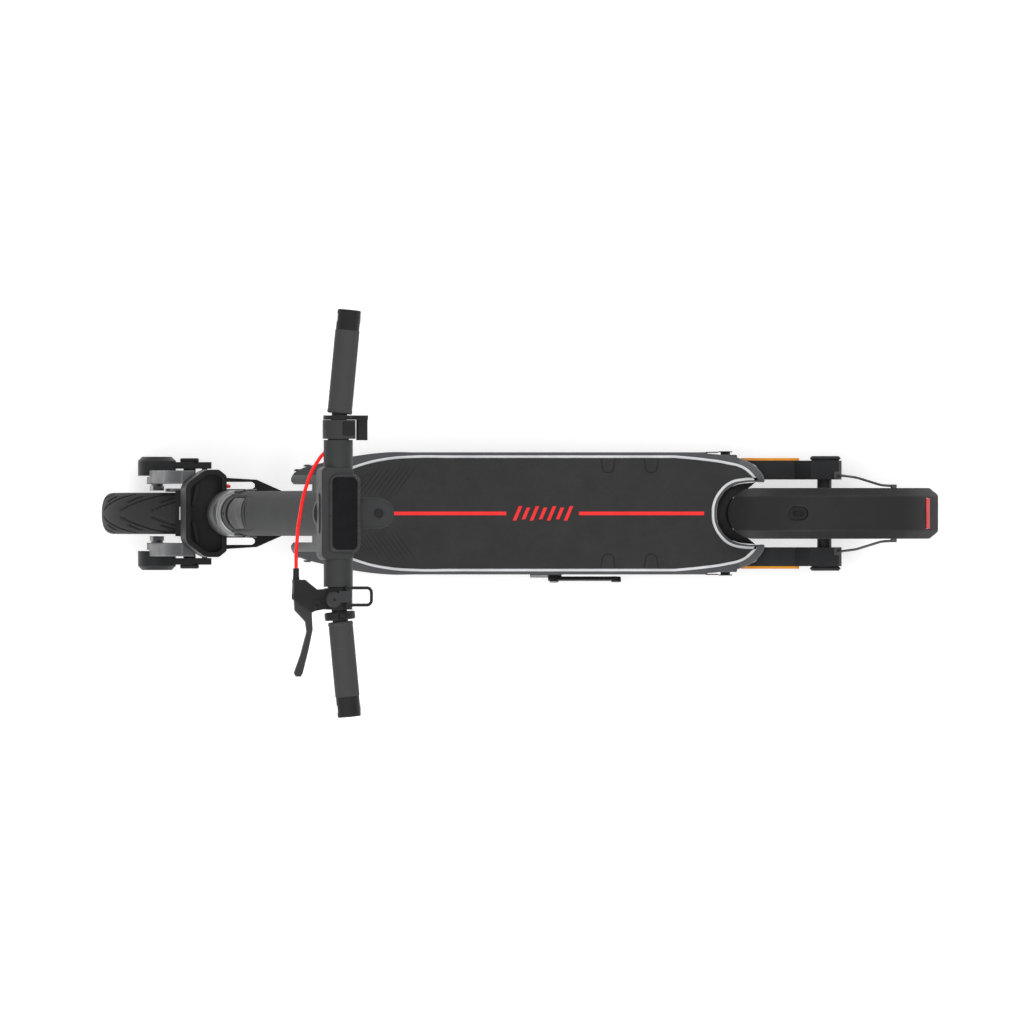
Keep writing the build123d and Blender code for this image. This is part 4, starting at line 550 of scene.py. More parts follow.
def outline(points: Sequence[tuple[float, float, str]], detail: int = 10) -> bmesh.types.BMesh:
    """Draws a flat closed outline and fills it with one face.

    Args:
        points: X, Y and "s" for a smooth point or "c" for a corner, in order round the outline.
        detail: Steps along each stretch.

    Returns:
        A mesh with one flat face that looks up.
    """
    curve = bpy.data.curves.new("outline", "CURVE")
    curve.dimensions = "3D"
    curve.resolution_u = detail
    spline = curve.splines.new("BEZIER")
    spline.bezier_points.add(len(points) - 1)
    spline.use_cyclic_u = True
    for target, (x, y, kind) in zip(spline.bezier_points, points):
        target.co = (x, y, 0)
        handle = "AUTO" if kind == "s" else "VECTOR"
        target.handle_left_type = handle
        target.handle_right_type = handle
    bm = from_curve(curve)
    bmesh.ops.remove_doubles(bm, verts=bm.verts, dist=1e-6)
    bmesh.ops.contextual_create(bm, geom=bm.edges[:])
    for face in bm.faces:
        if face.normal.z < 0:
            face.normal_flip()
    return bm


def mirrored(points: Sequence[tuple[float, float, str]]) -> list[tuple[float, float, str]]:
    """Returns an outline's left half followed by its mirror image, leaving out points on the middle."""
    return list(points) + [(x, -y, kind) for x, y, kind in reversed(points) if abs(y) > 1e-9]


def raised(bm: bmesh.types.BMesh, low: float, high: float, edge: float, segments: int = 3) -> bmesh.types.BMesh:
    """Makes a plate out of a flat mesh.

    Args:
        bm: Flat faces at height 0.
        low: Height of the underside.
        high: Height of the top.
        edge: Rounding of the top's rim, or 0.
        segments: Steps in the rounding.

    Returns:
        The same mesh, now a closed plate.
    """
    bmesh.ops.translate(bm, verts=bm.verts, vec=(0, 0, low))
    made = bmesh.ops.extrude_face_region(bm, geom=bm.faces[:], use_keep_orig=True)["geom"]
    tops = [g for g in made if isinstance(g, bmesh.types.BMVert)]
    bmesh.ops.translate(bm, verts=tops, vec=(0, 0, high - low))
    for face in bm.faces:
        if all(abs(v.co.z - low) < 1e-7 for v in face.verts) and face.normal.z > 0:
            face.normal_flip()
    bmesh.ops.recalc_face_normals(bm, faces=bm.faces)
    if edge:
        rims = [
            e for e in bm.edges
            if all(abs(v.co.z - high) < 1e-7 for v in e.verts) and e.is_manifold and e.calc_face_angle() > 0.8
        ]
        bmesh.ops.bevel(
            bm, geom=rims, offset=edge, segments=segments, affect="EDGES", profile=0.5, material=-1,
            clamp_overlap=True,
        )
    return bm


def block(size: Point, centre: Point, edge: float, segments: int = 3) -> bmesh.types.BMesh:
    """Returns a block with all its edges rounded."""
    bm = bmesh.new()
    place = Matrix.Translation(centre) @ Matrix.Diagonal((*size, 1))
    bmesh.ops.create_cube(bm, size=1, matrix=place)
    bmesh.ops.bevel(
        bm, geom=bm.edges[:], offset=edge, segments=segments, affect="EDGES", profile=0.5, material=-1,
        clamp_overlap=True,
    )
    return bm


def tube(points: Sequence[Point], radius: float, closed: bool = False, taper: Sequence[float] = ()) -> bmesh.types.BMesh:
    """Makes a round bar along a smooth line.

    Args:
        points: Control points of the line.
        radius: Radius of the bar.
        closed: Whether the line is a loop.
        taper: Share of the radius at each point, or nothing for an even bar.

    Returns:
        The bar, with its ends closed.
    """
    curve = bpy.data.curves.new("line", "CURVE")
    curve.dimensions = "3D"
    curve.resolution_u = 10
    curve.bevel_depth = radius
    curve.bevel_resolution = 4
    curve.use_fill_caps = True
    spline = curve.splines.new("NURBS")
    spline.points.add(len(points) - 1)
    for number, (target, point) in enumerate(zip(spline.points, points)):
        target.co = (*point, 1)
        target.radius = taper[number] if taper else 1.0
    spline.use_cyclic_u = closed
    spline.use_endpoint_u = not closed
    spline.order_u = 3
    bm = from_curve(curve)
    bmesh.ops.remove_doubles(bm, verts=bm.verts, dist=1e-6)
    return bm


def helix(radius: float, wire: float, low: float, high: float, turns: int) -> bmesh.types.BMesh:
    """Winds a coil spring round Z, with its ends held between two heights."""
    bm = bmesh.new()
    place = Matrix.Translation((radius, 0, low + wire)) @ Matrix.Rotation(math.pi / 2, 4, "X")
    bmesh.ops.create_circle(bm, cap_ends=False, segments=10, radius=wire, matrix=place)
    steps = turns * 28
    rise = (high - low - 2 * wire) / steps
    bmesh.ops.spin(
        bm, geom=bm.verts[:] + bm.edges[:], cent=(0, 0, 0), axis=(0, 0, 1), dvec=(0, 0, rise),
        angle=2 * math.pi * turns, steps=steps, use_merge=False, use_duplicate=False,
    )
    bmesh.ops.holes_fill(bm, edges=[e for e in bm.edges if e.is_boundary], sides=12)
    return bm


def moved(bm: bmesh.types.BMesh, place: Matrix) -> bmesh.types.BMesh:
    """Returns the mesh after a transform."""
    bmesh.ops.transform(bm, matrix=place, verts=bm.verts)
    return bm


def joined(parts: Sequence[bmesh.types.BMesh]) -> bmesh.types.BMesh:
    """Puts several meshes together in one."""
    whole = bmesh.new()
    for part in parts:
        mesh = bpy.data.meshes.new("part")
        part.to_mesh(mesh)
        part.free()
        whole.from_mesh(mesh)
        bpy.data.meshes.remove(mesh)
    return whole


def both_sides(bm: bmesh.types.BMesh) -> bmesh.types.BMesh:
    """Adds the mirror image of a mesh on the other side of the scooter."""
    image = bm.copy()
    bmesh.ops.scale(image, vec=(1, -1, 1), verts=image.verts)
    bmesh.ops.reverse_faces(image, faces=image.faces)
    return joined([bm, image])


def piece(
    bm: bmesh.types.BMesh,
    name: str,
    body: str,
    finish: Finish,
    stands_for: Sequence[str] = (),
    crease: float = 35.0,
    extra: Sequence[Finish] = (),
) -> bpy.types.Object:
    """Makes a finished piece out of a mesh.

    Args:
        bm: The mesh, in place in the row frame.
        name: The piece's name.
        body: The body that it rides on.
        finish: Its finish.
        stands_for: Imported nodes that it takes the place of.
        crease: Angle in degrees above which an edge stays sharp.
        extra: Finishes of the faces whose material number is 1 and up.

    Returns:
        The new object.
    """
    bmesh.ops.recalc_face_normals(bm, faces=bm.faces)
    mesh = bpy.data.meshes.new(name)
    bm.to_mesh(mesh)
    bm.free()
    mesh.shade_smooth()
    mesh.set_sharp_from_angle(angle=math.radians(crease))
    for coat in (finish, *extra):
        mesh.materials.append(coat.material())
    made = bpy.data.objects.new(name, mesh)
    bpy.context.scene.collection.objects.link(made)
    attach(made, body)
    if stands_for:
        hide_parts(*stands_for)
    log.info("%s: %d faces on %s", name, len(mesh.polygons), body)
    return made


# ------------------------------------------------------------------ wheels
@dataclass
class Tyre:
    """An air tyre with swept grooves cut in its tread.

    Attributes:
        name: The piece's name, and its node's.
        body: The wheel's body.
        axle_x: Where the axle lies.
        radius: Outer radius, and the height of the axle.
        half_width: Half the width across the sidewalls.
        bead_radius: Radius at the rim.
        grooves: Number of swept grooves on each side.
    """

    name: str
    body: str
    axle_x: float
    radius: float = 0.127
    half_width: float = 0.03
    bead_radius: float = 0.0805
    grooves: int = 14
    inner_start: float = 0.0043
    outer_end: float = 0.0265
    sweep_degrees: float = 35.5
    groove_half: float = 0.0023
    groove_depth: float = 0.0026

    def profile(self) -> list[Flat]:
        """Returns the closed section, as distance from the axle and across."""
        crown = self.half_width - 0.0001
        points = [(self.bead_radius, -0.024), (self.bead_radius + 0.008, -0.0268), (self.radius - 0.024, -crown)]
        depth = 0.0215
        for step in range(1, 48):
            angle = -math.pi / 2 + math.pi * step / 48
            across = crown * math.copysign(abs(math.sin(angle)) ** 0.82, math.sin(angle))
            points.append((self.radius - depth + depth * math.cos(angle) ** 0.62, across))
        points += [(self.radius - 0.024, crown), (self.bead_radius + 0.008, 0.0268), (self.bead_radius, 0.024)]
        return points

    def groove_share(self, turn: float, across: float) -> float:
        """Gives how deep the tread is cut at a spot.

        Args:
            turn: Angle round the wheel, in degrees, growing towards the rear over the top.
            across: Distance from the middle.

        Returns:
            A share of the full depth, from 0 to 1.
        """
        period = 360 / self.grooves
        side = abs(across)
        span = (side - self.inner_start) / (self.outer_end - self.inner_start)
        share = 0.0
        if -0.04 < span < 1.05:
            held = min(max(span, 0.0), 1.0)
            centre = self.sweep_degrees * (1 - (1 - held) ** 0.75)
            away = (turn - centre + period / 2) % period - period / 2
            distance = abs(math.radians(away) * self.radius) * 0.62
            share = max(share, 1 - distance / self.groove_half)
        if 0.0168 < side < 0.0238:
            lean = (side - 0.0168) / 0.007 * 9.5
            away = (turn - lean - 0.3 * period + period / 2) % period - period / 2
            distance = abs(math.radians(away) * self.radius) * 0.55
            share = max(share, 1 - distance / self.groove_half)
        return min(max(share * 2.4, 0.0), 1.0)

    def build(self) -> None:
        """Makes the tyre and cuts its tread."""
        bm = turned(self.profile(), 640, closed=True)
        # The groove attribute also marks where painted shade goes, down in the cut grooves.
        layer = bm.verts.layers.float.new("groove_shade")
        for vert in bm.verts:
            out = math.hypot(vert.co.x, vert.co.y)
            if out < self.radius - 0.014:
                continue
            turn = math.degrees(math.atan2(-vert.co.x, vert.co.y))
            share = self.groove_share(turn, vert.co.z)
            vert[layer] = share
            pull = 1 - share * self.groove_depth / out
            vert.co.x *= pull
            vert.co.y *= pull
        place = Matrix.Translation((self.axle_x, 0, self.radius)) @ Matrix.Rotation(math.pi / 2, 4, "X")
        piece(moved(bm, place), self.name + "_tread", self.body, TYRE_RUBBER, [self.name], 60)


@dataclass
class Wheels:
    """Both wheels: tyres, rim bolts and valve."""

    front_x: float = 0.4776
    rear_x: float = -0.4412
    axle_z: float = 0.127
    valve_radius: float = 0.0033

    def valve(self) -> bmesh.types.BMesh:
        """Returns the front tyre's valve stem, standing in from the rim."""
        profile = [(0.0, 0.0), (0.0026, 0.0), (0.0033, 0.001), (0.0033, 0.006), (0.0025, 0.007),
                   (0.0025, 0.018), (0.0, 0.018)]
        return moved(turned(profile, 20), Matrix.Translation((self.front_x, 0.011, self.axle_z + 0.0535)))

    def cover_ring(self) -> bmesh.types.BMesh:
        """Returns the raised ring and domed bolts on the left motor cover."""
        ring = turned([(0.0565, 0), (0.0565, 0.0012), (0.0575, 0.0018), (0.0605, 0.0018), (0.0615, 0.0012),
                       (0.0615, 0)], 96)
        bolts = []
        for number in range(6):
            angle = math.pi / 3 * number
            head = turned([(0, 0.0034), (0.0022, 0.0032), (0.0038, 0.0018), (0.0042, 0.0), (0.0042, -0.001)], 20)
            spot = Matrix.Translation((0.052 * math.cos(angle), 0.052 * math.sin(angle), 0.0))
            bolts.append(moved(head, spot))
        whole = joined([ring, *bolts])
        place = Matrix.Translation((self.rear_x, 0.0272, self.axle_z)) @ Matrix.Rotation(-math.pi / 2, 4, "X")
        return moved(whole, place)

    def build(self) -> None:
        """Makes the pieces of both wheels."""
        Tyre("front_tyre", "front_wheel", self.front_x).build()
        Tyre("rear_tyre", "rear_wheel", self.rear_x).build()
        piece(self.valve(), "tyre_valve", "front_wheel", RIDGE_RUBBER)
        piece(both_sides(self.cover_ring()), "motor_cover_bolts", "rear_wheel", DARK_STEEL)


# ------------------------------------------------------------------ deck
@dataclass
class Deck:
    """The standing board's mat, trim line, marks and side details."""

    top: float = 0.156
    mat_top: float = 0.16
    mat_half: float = 0.0794
    trim_width: float = 0.0036
    cut_x: float = -0.2848
    cut_radius: float = 0.045
    line_half: float = 0.00265
    mark_xs: tuple[float, float] = (-0.128, -0.1905)
    mark_width: float = 0.0177
    mark_depth: float = 0.02

    def edge(self, grow: float) -> list[tuple[float, float, str]]:
        """Returns the mat's outline, grown outwards by a distance."""
        half = self.mat_half + grow
        left = [
            (0.286 + grow, 0.0, "s"),
            (0.284 + grow, 0.036, "s"),
            (0.262, 0.0535 + grow, "s"),
            (0.23, 0.0675 + grow, "s"),
            (0.19, 0.0765 + grow, "s"),
            (0.15, half, "s"),
            (0.1, half, "c"),
            (-0.225, half, "c"),
            (-0.262, half - 0.0035, "s"),
            (-0.3, half - 0.009, "s"),
            (-0.3235, half - 0.0155, "s"),
            (-0.3335 - 0.6 * grow, half - 0.025, "s"),
            (-0.3385 - 1.4 * grow, 0.0525 - grow, "c"),
            (-0.322, 0.0515 - grow, "s"),
            (-0.303 - 0.5 * grow, 0.0465 - 0.9 * grow, "s"),
            (-0.2885 - 0.85 * grow, 0.034 - 0.6 * grow, "s"),
            (-0.279 - grow, 0.016 - 0.2 * grow, "s"),
            (-0.2772 - grow, 0.0, "s"),
        ]
        return mirrored(left)

    def mat(self) -> bmesh.types.BMesh:
        """Returns the rubber mat."""
        return raised(outline(self.edge(0.0)), self.top - 0.0002, self.mat_top, 0.0008)

    def trim(self) -> bmesh.types.BMesh:
        """Returns the bright line round the mat, a thin flat band."""
        bm = outline(self.edge(self.trim_width + 0.0008))
        bmesh.ops.inset_individual(bm, faces=bm.faces[:], thickness=self.trim_width, depth=0.0, use_even_offset=True)
        middle = max(bm.faces, key=lambda face: face.calc_area())
        bmesh.ops.delete(bm, geom=[middle], context="FACES")
        return raised(bm, self.top - 0.0002, self.top + 0.0006, 0.0)

    def stripes(self) -> bmesh.types.BMesh:
        """Returns the centre line in two lengths, with a group of slanted bars in its gap."""
        parts = []
        for start, end in ((0.183, 0.019), (-0.086, -0.267)):
            centre = ((start + end) / 2, 0, self.mat_top)
            parts.append(block((start - end, 2 * self.line_half, 0.0005), centre, 0.0002, 1))
        for number in range(7):
            bar = block((0.0052, 0.021 - 0.004 * (number % 2), 0.0005), (0, 0, 0), 0.0002, 1)
            slant = Matrix.Identity(4)
            slant[0][1] = 0.42
            spot = Matrix.Translation((0.003 - 0.0123 * number, 0, self.mat_top))
            parts.append(moved(bar, spot @ slant))
        return joined(parts)

    def side_marks(self) -> bmesh.types.BMesh:
        """Returns the four U-shaped lines at the mat's sides."""
        parts = []
        width = self.mark_width / 2
        for centre_x in self.mark_xs:
            for side in (1, -1):
                rim = side * (self.mat_half - 0.0004)
                tip = side * (self.mat_half - self.mark_depth)
                height = self.mat_top - 0.0002
                path = [
                    (centre_x - width - 0.0015, rim, height),
                    (centre_x - width, (rim + tip) / 2, height),
                    (centre_x - width * 0.8, tip + side * 0.001, height),
                    (centre_x, tip - side * 0.0008, height),
                    (centre_x + width * 0.8, tip + side * 0.001, height),
                    (centre_x + width, (rim + tip) / 2, height),
                    (centre_x + width + 0.0015, rim, height),
                ]
                parts.append(tube(path, 0.0007))
        return joined(parts)

    def hatch(self) -> bmesh.types.BMesh:
        """Returns the slanting ribs on the front of the mat."""
        parts = []
        for number in range(13):
            for side in (1, -1):
                start_x = 0.272 - 0.0075 * number
                reach = min(0.07, 0.052 + 0.0035 * number)
                start = (start_x, side * 0.024, self.mat_top - 0.0003)
                end = (start_x - 0.034, side * reach, self.mat_top - 0.0003)
                middle = tuple((a + b) / 2 for a, b in zip(start, end))
                parts.append(tube([start, middle, end], 0.0009, taper=[0.3, 1.0, 0.3]))
        return joined(parts)

    def frame_edge(self, rear: list[tuple[float, float, str]]) -> list[tuple[float, float, str]]:
        """Returns the frame's outline with its own front and the given rear end."""
        front = [
            (0.3, 0.0, "c"), (0.3, 0.042, "c"), (0.327, 0.042, "c"), (0.3305, 0.048, "s"), (0.3275, 0.0565, "s"),
            (0.318, 0.0635, "s"), (0.289, 0.0722, "s"), (0.2385, 0.0828, "s"), (0.19, 0.0884, "s"),
            (0.15, 0.0884, "c"),
        ]
        return mirrored(front + rear)

    def frame(self) -> bmesh.types.BMesh:
        """Returns the frame: a lower body, two pivot lugs and an upper plate with long horns."""
        horns = [
            (-0.24, 0.0884, "c"), (-0.297, 0.0838, "s"), (-0.328, 0.0762, "s"), (-0.345, 0.0645, "s"),
            (-0.3545, 0.0475, "s"), (-0.353, 0.045, "c"), (-0.3298, 0.045, "s"), (-0.306, 0.0382, "s"),
            (-0.2908, 0.0225, "s"), (-0.2848, 0.0, "s"),
        ]
        upper = raised(outline(self.frame_edge(horns)), 0.132, self.top, 0.003, 5)
        for middle, direction in (((-0.318, 0, 0), (1, 0, 0)), ((0.262, 0, 0), (1, 0, 0)),
                                  ((0, 0.0555, 0), (0, 1, 0)), ((0, -0.0555, 0), (0, 1, 0))):
            everything = upper.verts[:] + upper.edges[:] + upper.faces[:]
            bmesh.ops.bisect_plane(upper, geom=everything, plane_co=middle, plane_no=direction)
        for face in upper.faces:
            spot = face.calc_center_median()
            horn = spot.x < -0.318 and spot.z > 0.133
            # Painted highlight: the ears' inner band gets satin silver where their rounded top catches bright light.
            ear_highlight_band = spot.x > 0.262 and abs(spot.y) < 0.0555 and spot.z > 0.133
            face.material_index = 1 if horn else 2 if ear_highlight_band else 0
        body = [(-0.272, 0.0884, "c"), (-0.272, 0.0, "c")]
        lower = raised(outline(self.frame_edge(body)), 0.093, 0.1322, 0.0)
        lug = both_sides(block((0.042, 0.0062, 0.0392), (-0.294, 0.0818, 0.1126), 0.002))
        return joined([upper, lower, lug])

    def liner(self) -> bmesh.types.BMesh:
        """Returns the half-round liner inside the rear cut-out."""
        outer, inner = 0.0446, 0.031
        half = [
            (outer, 0.0, "s"), (outer * 0.866, outer * 0.5, "s"), (outer * 0.5, outer * 0.866, "s"),
            (-0.012, outer + 0.0006, "c"), (-0.0004, inner + 0.0045, "c"), (inner * 0.5, inner * 0.866, "s"),
            (inner * 0.866, inner * 0.5, "s"), (inner, 0.0, "s"),
        ]
        return moved(raised(outline(mirrored(half)), 0.1285, 0.1318, 0.0008), Matrix.Translation((-0.3298, 0, 0)))

    def button_head(self, radius: float, height: float) -> bmesh.types.BMesh:
        """Returns a low domed screw head with a six-sided socket, standing on Z = 0."""
        profile = [(radius * 0.46, height * 0.35), (radius * 0.46, height), (radius * 0.7, height * 0.93),
                   (radius * 0.93, height * 0.55), (radius, 0.0)]
        bm = turned(profile, 24)
        rim = [e for e in bm.edges if e.is_boundary and e.verts[0].co.z > height * 0.2]
        bmesh.ops.holes_fill(bm, edges=rim, sides=0)
        for vert in bm.verts:
            if math.hypot(vert.co.x, vert.co.y) < radius * 0.5:
                angle = math.atan2(vert.co.y, vert.co.x) % (math.pi / 3) - math.pi / 6
                flat = 0.9 / math.cos(angle)
                vert.co.x *= flat
                vert.co.y *= flat
        return bm

    def screws(self) -> bmesh.types.BMesh:
        """Returns the cover's screws, the liner's screws and the four neck bolts."""
        parts = []
        for row in range(5):
            for side in (1, -1):
                place = Matrix.Translation((-0.24 + 0.1085 * row, side * 0.0805, 0.0924)) @ Matrix.Rotation(math.pi, 4, "X")
                parts.append(moved(self.button_head(0.0035, 0.002), place))
        for angle in (-62, -24, 24, 62):
            turn = math.radians(angle)
            spot = (-0.3298 + 0.0385 * math.cos(turn), 0.0385 * math.sin(turn), 0.1317)
            parts.append(moved(self.button_head(0.0024, 0.0014), Matrix.Translation(spot)))
        for bolt_x, reach in ((0.307, 0.0678), (0.321, 0.0612)):
            for side in (1, -1):
                place = Matrix.Translation((bolt_x, side * reach, 0.122)) @ Matrix.Rotation(-side * math.pi / 2, 4, "X")
                parts.append(moved(self.button_head(0.0058, 0.003), place))
        return joined(parts)

    def side_plugs(self) -> bmesh.types.BMesh:
        """Returns the small oval plugs low on the frame's rear corners."""
        slot = outline(
            [(-0.2865, -0.003, "s"), (-0.2785, -0.0042, "s"), (-0.2705, -0.003, "s"),
             (-0.2705, 0.003, "s"), (-0.2785, 0.0042, "s"), (-0.2865, 0.003, "s")], 6,
        )
        raised(slot, 0.0, 0.0016, 0.0006)
        place = Matrix.Translation((0, 0.0875, 0.141)) @ Matrix.Rotation(-math.pi / 2, 4, "X")
        return both_sides(moved(slot, place))

    def build(self) -> None:
        """Makes every piece of the deck's top."""
        # The silver on the frame's ears is a painted highlight.
        piece(self.frame(), "deck_body", "deck", FRAME_GREY, ["deck_frame"], 40, [FORK_GREY, SILVER])
        piece(self.mat(), "deck_mat_grip", "deck", DECK_RUBBER, ["deck_mat"])
        piece(self.trim(), "deck_trim_line", "deck", TRIM_WHITE)
        piece(self.stripes(), "deck_centre_line", "deck", LINE_RED)
        piece(self.side_marks(), "deck_side_marks", "deck", RIDGE_RUBBER)
        piece(self.hatch(), "deck_front_ribs", "deck", RIDGE_RUBBER)
        piece(self.liner(), "rear_liner", "deck", FENDER_PLASTIC, ["fender_liner"])
        piece(self.screws(), "deck_fasteners", "deck", DARK_STEEL, ["deck_screws"])
        piece(self.side_plugs(), "deck_side_plugs", "deck", BLACK_PLASTIC)


# ------------------------------------------------------------------ springs
@dataclass
class Springs:
    """Coil springs of both suspensions."""

    front_x: float = 0.455
    front_y: float = 0.052
    front_low: float = 0.131
    front_high: float = 0.19
    rear_x: float = -0.335
    rear_y: float = 0.062
    rear_low: float = 0.116
    rear_high: float = 0.132
    wire: float = 0.0015

    def build(self) -> None:
        """Makes both pairs of springs."""
        front = helix(0.008, self.wire, self.front_low, self.front_high, 6)
        moved(front, Matrix.Translation((self.front_x, self.front_y, 0)))
        pair = piece(both_sides(front), "front_coils", "fork", STEEL, ["front_springs"])
        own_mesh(pair)
        rear = helix(0.0085, self.wire, self.rear_low, self.rear_high, 3)
        moved(rear, Matrix.Translation((self.rear_x, self.rear_y, 0)))
        pair = piece(both_sides(rear), "rear_coils", "deck", STEEL, ["rear_springs"])
        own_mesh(pair)


# ------------------------------------------------------------------ handlebar
@dataclass
class Handlebar:
    """Grips, lenses, display and cable boot on the handlebar."""

    grip_radius: float = 0.0175
    bar_radius: float = 0.0111
    left_start: float = 0.152
    right_start: float = 0.14
    grip_end: float = 0.2575
    lens_left: float = 0.267

    def grip(self, start: float, side: int) -> bmesh.types.BMesh:
        """Makes one grip.

        Args:
            start: Distance of its inner end from the middle.
            side: 1 for the left end and -1 for the right end.

        Returns:
            A ribbed sleeve with a collar at each end, in place.
        """
        length = (self.grip_end - start) / math.cos(math.radians(STEER.sweep))
        outer = self.grip_radius
        profile = [(self.bar_radius, 0.0), (outer - 0.0012, 0.0), (outer, 0.0012), (outer, 0.005),
                   (outer - 0.0006, 0.0062)]
        ribs = 30
        span = length - 0.0148
        for number in range(ribs):
            low = 0.0074 + span * number / ribs
            step = span / ribs
            profile += [(outer - 0.0006, low), (outer - 0.0002, low + 0.25 * step),
                        (outer - 0.0002, low + 0.7 * step)]
        profile += [(outer - 0.0006, length - 0.0066), (outer - 0.0004, length - 0.0052),
                    (outer - 0.0004, length - 0.001), (outer - 0.0014, length), (self.bar_radius, length)]
        bm = turned(profile, 72, closed=True)
        # The groove attribute marks painted shade: half strength down the rib grooves, 0.3 on the bore and end faces.
        layer = bm.verts.layers.float.new("groove_shade")
        for vert in bm.verts:
            out = math.hypot(vert.co.x, vert.co.y)
            if 0.007 < vert.co.z < length - 0.007 and out > outer - 0.0004:
                twist = math.atan2(vert.co.y, vert.co.x) * 18 / math.pi + vert.co.z * 900
                cut = max(0.0, math.cos(twist * math.pi)) ** 2
                pull = 1 - 0.0003 * cut / out
                vert.co.x *= pull
                vert.co.y *= pull
                vert[layer] = 0.5 * cut
            elif out < outer - 0.00045:
                vert[layer] = 0.3
        return moved(bm, STEER.grip(start, side))

    def lenses(self) -> bmesh.types.BMesh:
        """Returns the four clear turn-signal lenses, one at the front and back of each bar end."""
        parts = []
        for side in (1, -1):
            for forward in (1, -1):
                lens = block((0.0034, 0.0066, 0.0112), (forward * 0.0158, 0, 0.0062), 0.0014, 4)
                parts.append(moved(lens, STEER.grip(self.lens_left, side)))
        return joined(parts)

    def display_rim(self) -> bmesh.types.BMesh:
        """Returns the raised rounded rim of the display."""
        bm = self.pad(0.0434, 0.1098, 0.0115)
        bmesh.ops.inset_individual(bm, faces=bm.faces[:], thickness=0.0042, depth=0.0, use_even_offset=True)
        middle = max(bm.faces, key=lambda face: face.calc_area())
        bmesh.ops.delete(bm, geom=[middle], context="FACES")
        return moved(raised(bm, 0.0215, 0.0252, 0.0012, 4), STEER.bar())

    def display_screen(self) -> bmesh.types.BMesh:
        """Returns the polished screen, slightly lower than its rim."""
        bm = self.pad(0.0352, 0.1016, 0.0078)
        return moved(raised(bm, 0.0215, 0.0246, 0.001, 3), STEER.bar())

    def pad(self, length: float, width: float, corner: float) -> bmesh.types.BMesh:
        """Returns a flat rounded oblong under the display's middle."""
        bm = bmesh.new()
        place = Matrix.Translation((-0.0053, 0, 0)) @ Matrix.Diagonal((length, width, 1, 1))
        bmesh.ops.create_grid(bm, x_segments=1, y_segments=1, size=0.5, matrix=place)
        bmesh.ops.bevel(
            bm, geom=bm.verts[:], offset=corner, segments=8, affect="VERTICES", profile=0.5, material=-1,
            clamp_overlap=True,
        )
        return bm

    def boot(self) -> bmesh.types.BMesh:
        """Returns the ribbed rubber boot where the brake cable leaves the lever perch."""
        profile = [(0.00255, -0.004), (0.0031, -0.0035), (0.0036, 0.002), (0.0046, 0.009), (0.0048, 0.0125),
                   (0.0056, 0.0128), (0.0056, 0.0155), (0.00255, 0.0155)]
        bm = turned(profile, 28, closed=True)
        place = Matrix.Translation((0.06, 0.0815, 0)) @ Matrix.Rotation(-math.pi / 2, 4, "X")
        return moved(bm, STEER.bar() @ place)

    def tongue_ring(self) -> bmesh.types.BMesh:
        """Returns the bezel round the power button."""
        profile = [(0.0063, 0.004), (0.0063, 0.0046), (0.0067, 0.005), (0.0079, 0.005), (0.0083, 0.0046),
                   (0.0083, 0.004)]
        return moved(turned(profile, 48), STEER.bar() @ Matrix.Translation((-0.057, 0, 0)))

    def tongue_rim(self) -> bmesh.types.BMesh:
        """Returns the thin raised rim along the edge of the tongue."""
        path = [(-0.03, 0.0205, 0.0041), (-0.05, 0.0205, 0.0041), (-0.0655, 0.019, 0.0041),
                (-0.0765, 0.009, 0.0041), (-0.0775, 0.0, 0.0041), (-0.0765, -0.009, 0.0041),
                (-0.0655, -0.019, 0.0041), (-0.05, -0.0205, 0.0041), (-0.03, -0.0205, 0.0041)]
        return moved(tube(path, 0.0009), STEER.bar())

    def build(self) -> None:
        """Makes the handlebar's pieces."""
        grips = joined([self.grip(self.left_start, 1), self.grip(self.right_start, -1)])
        piece(grips, "grip_sleeves", "stem", GRIP_RUBBER, ["grips"])
        piece(self.lenses(), "turn_signal_lenses", "stem", CLEAR_LENS)
        piece(self.display_rim(), "display_rim", "stem", GLOSS_BLACK, ["display"])
        piece(self.display_screen(), "display_screen", "stem", SCREEN_GLASS)
        piece(self.boot(), "cable_boot", "stem", RIDGE_RUBBER)
        piece(self.tongue_ring(), "power_button_bezel", "stem", ARM_GREY)
        piece(self.tongue_rim(), "tongue_rim", "stem", STEM_GREY)


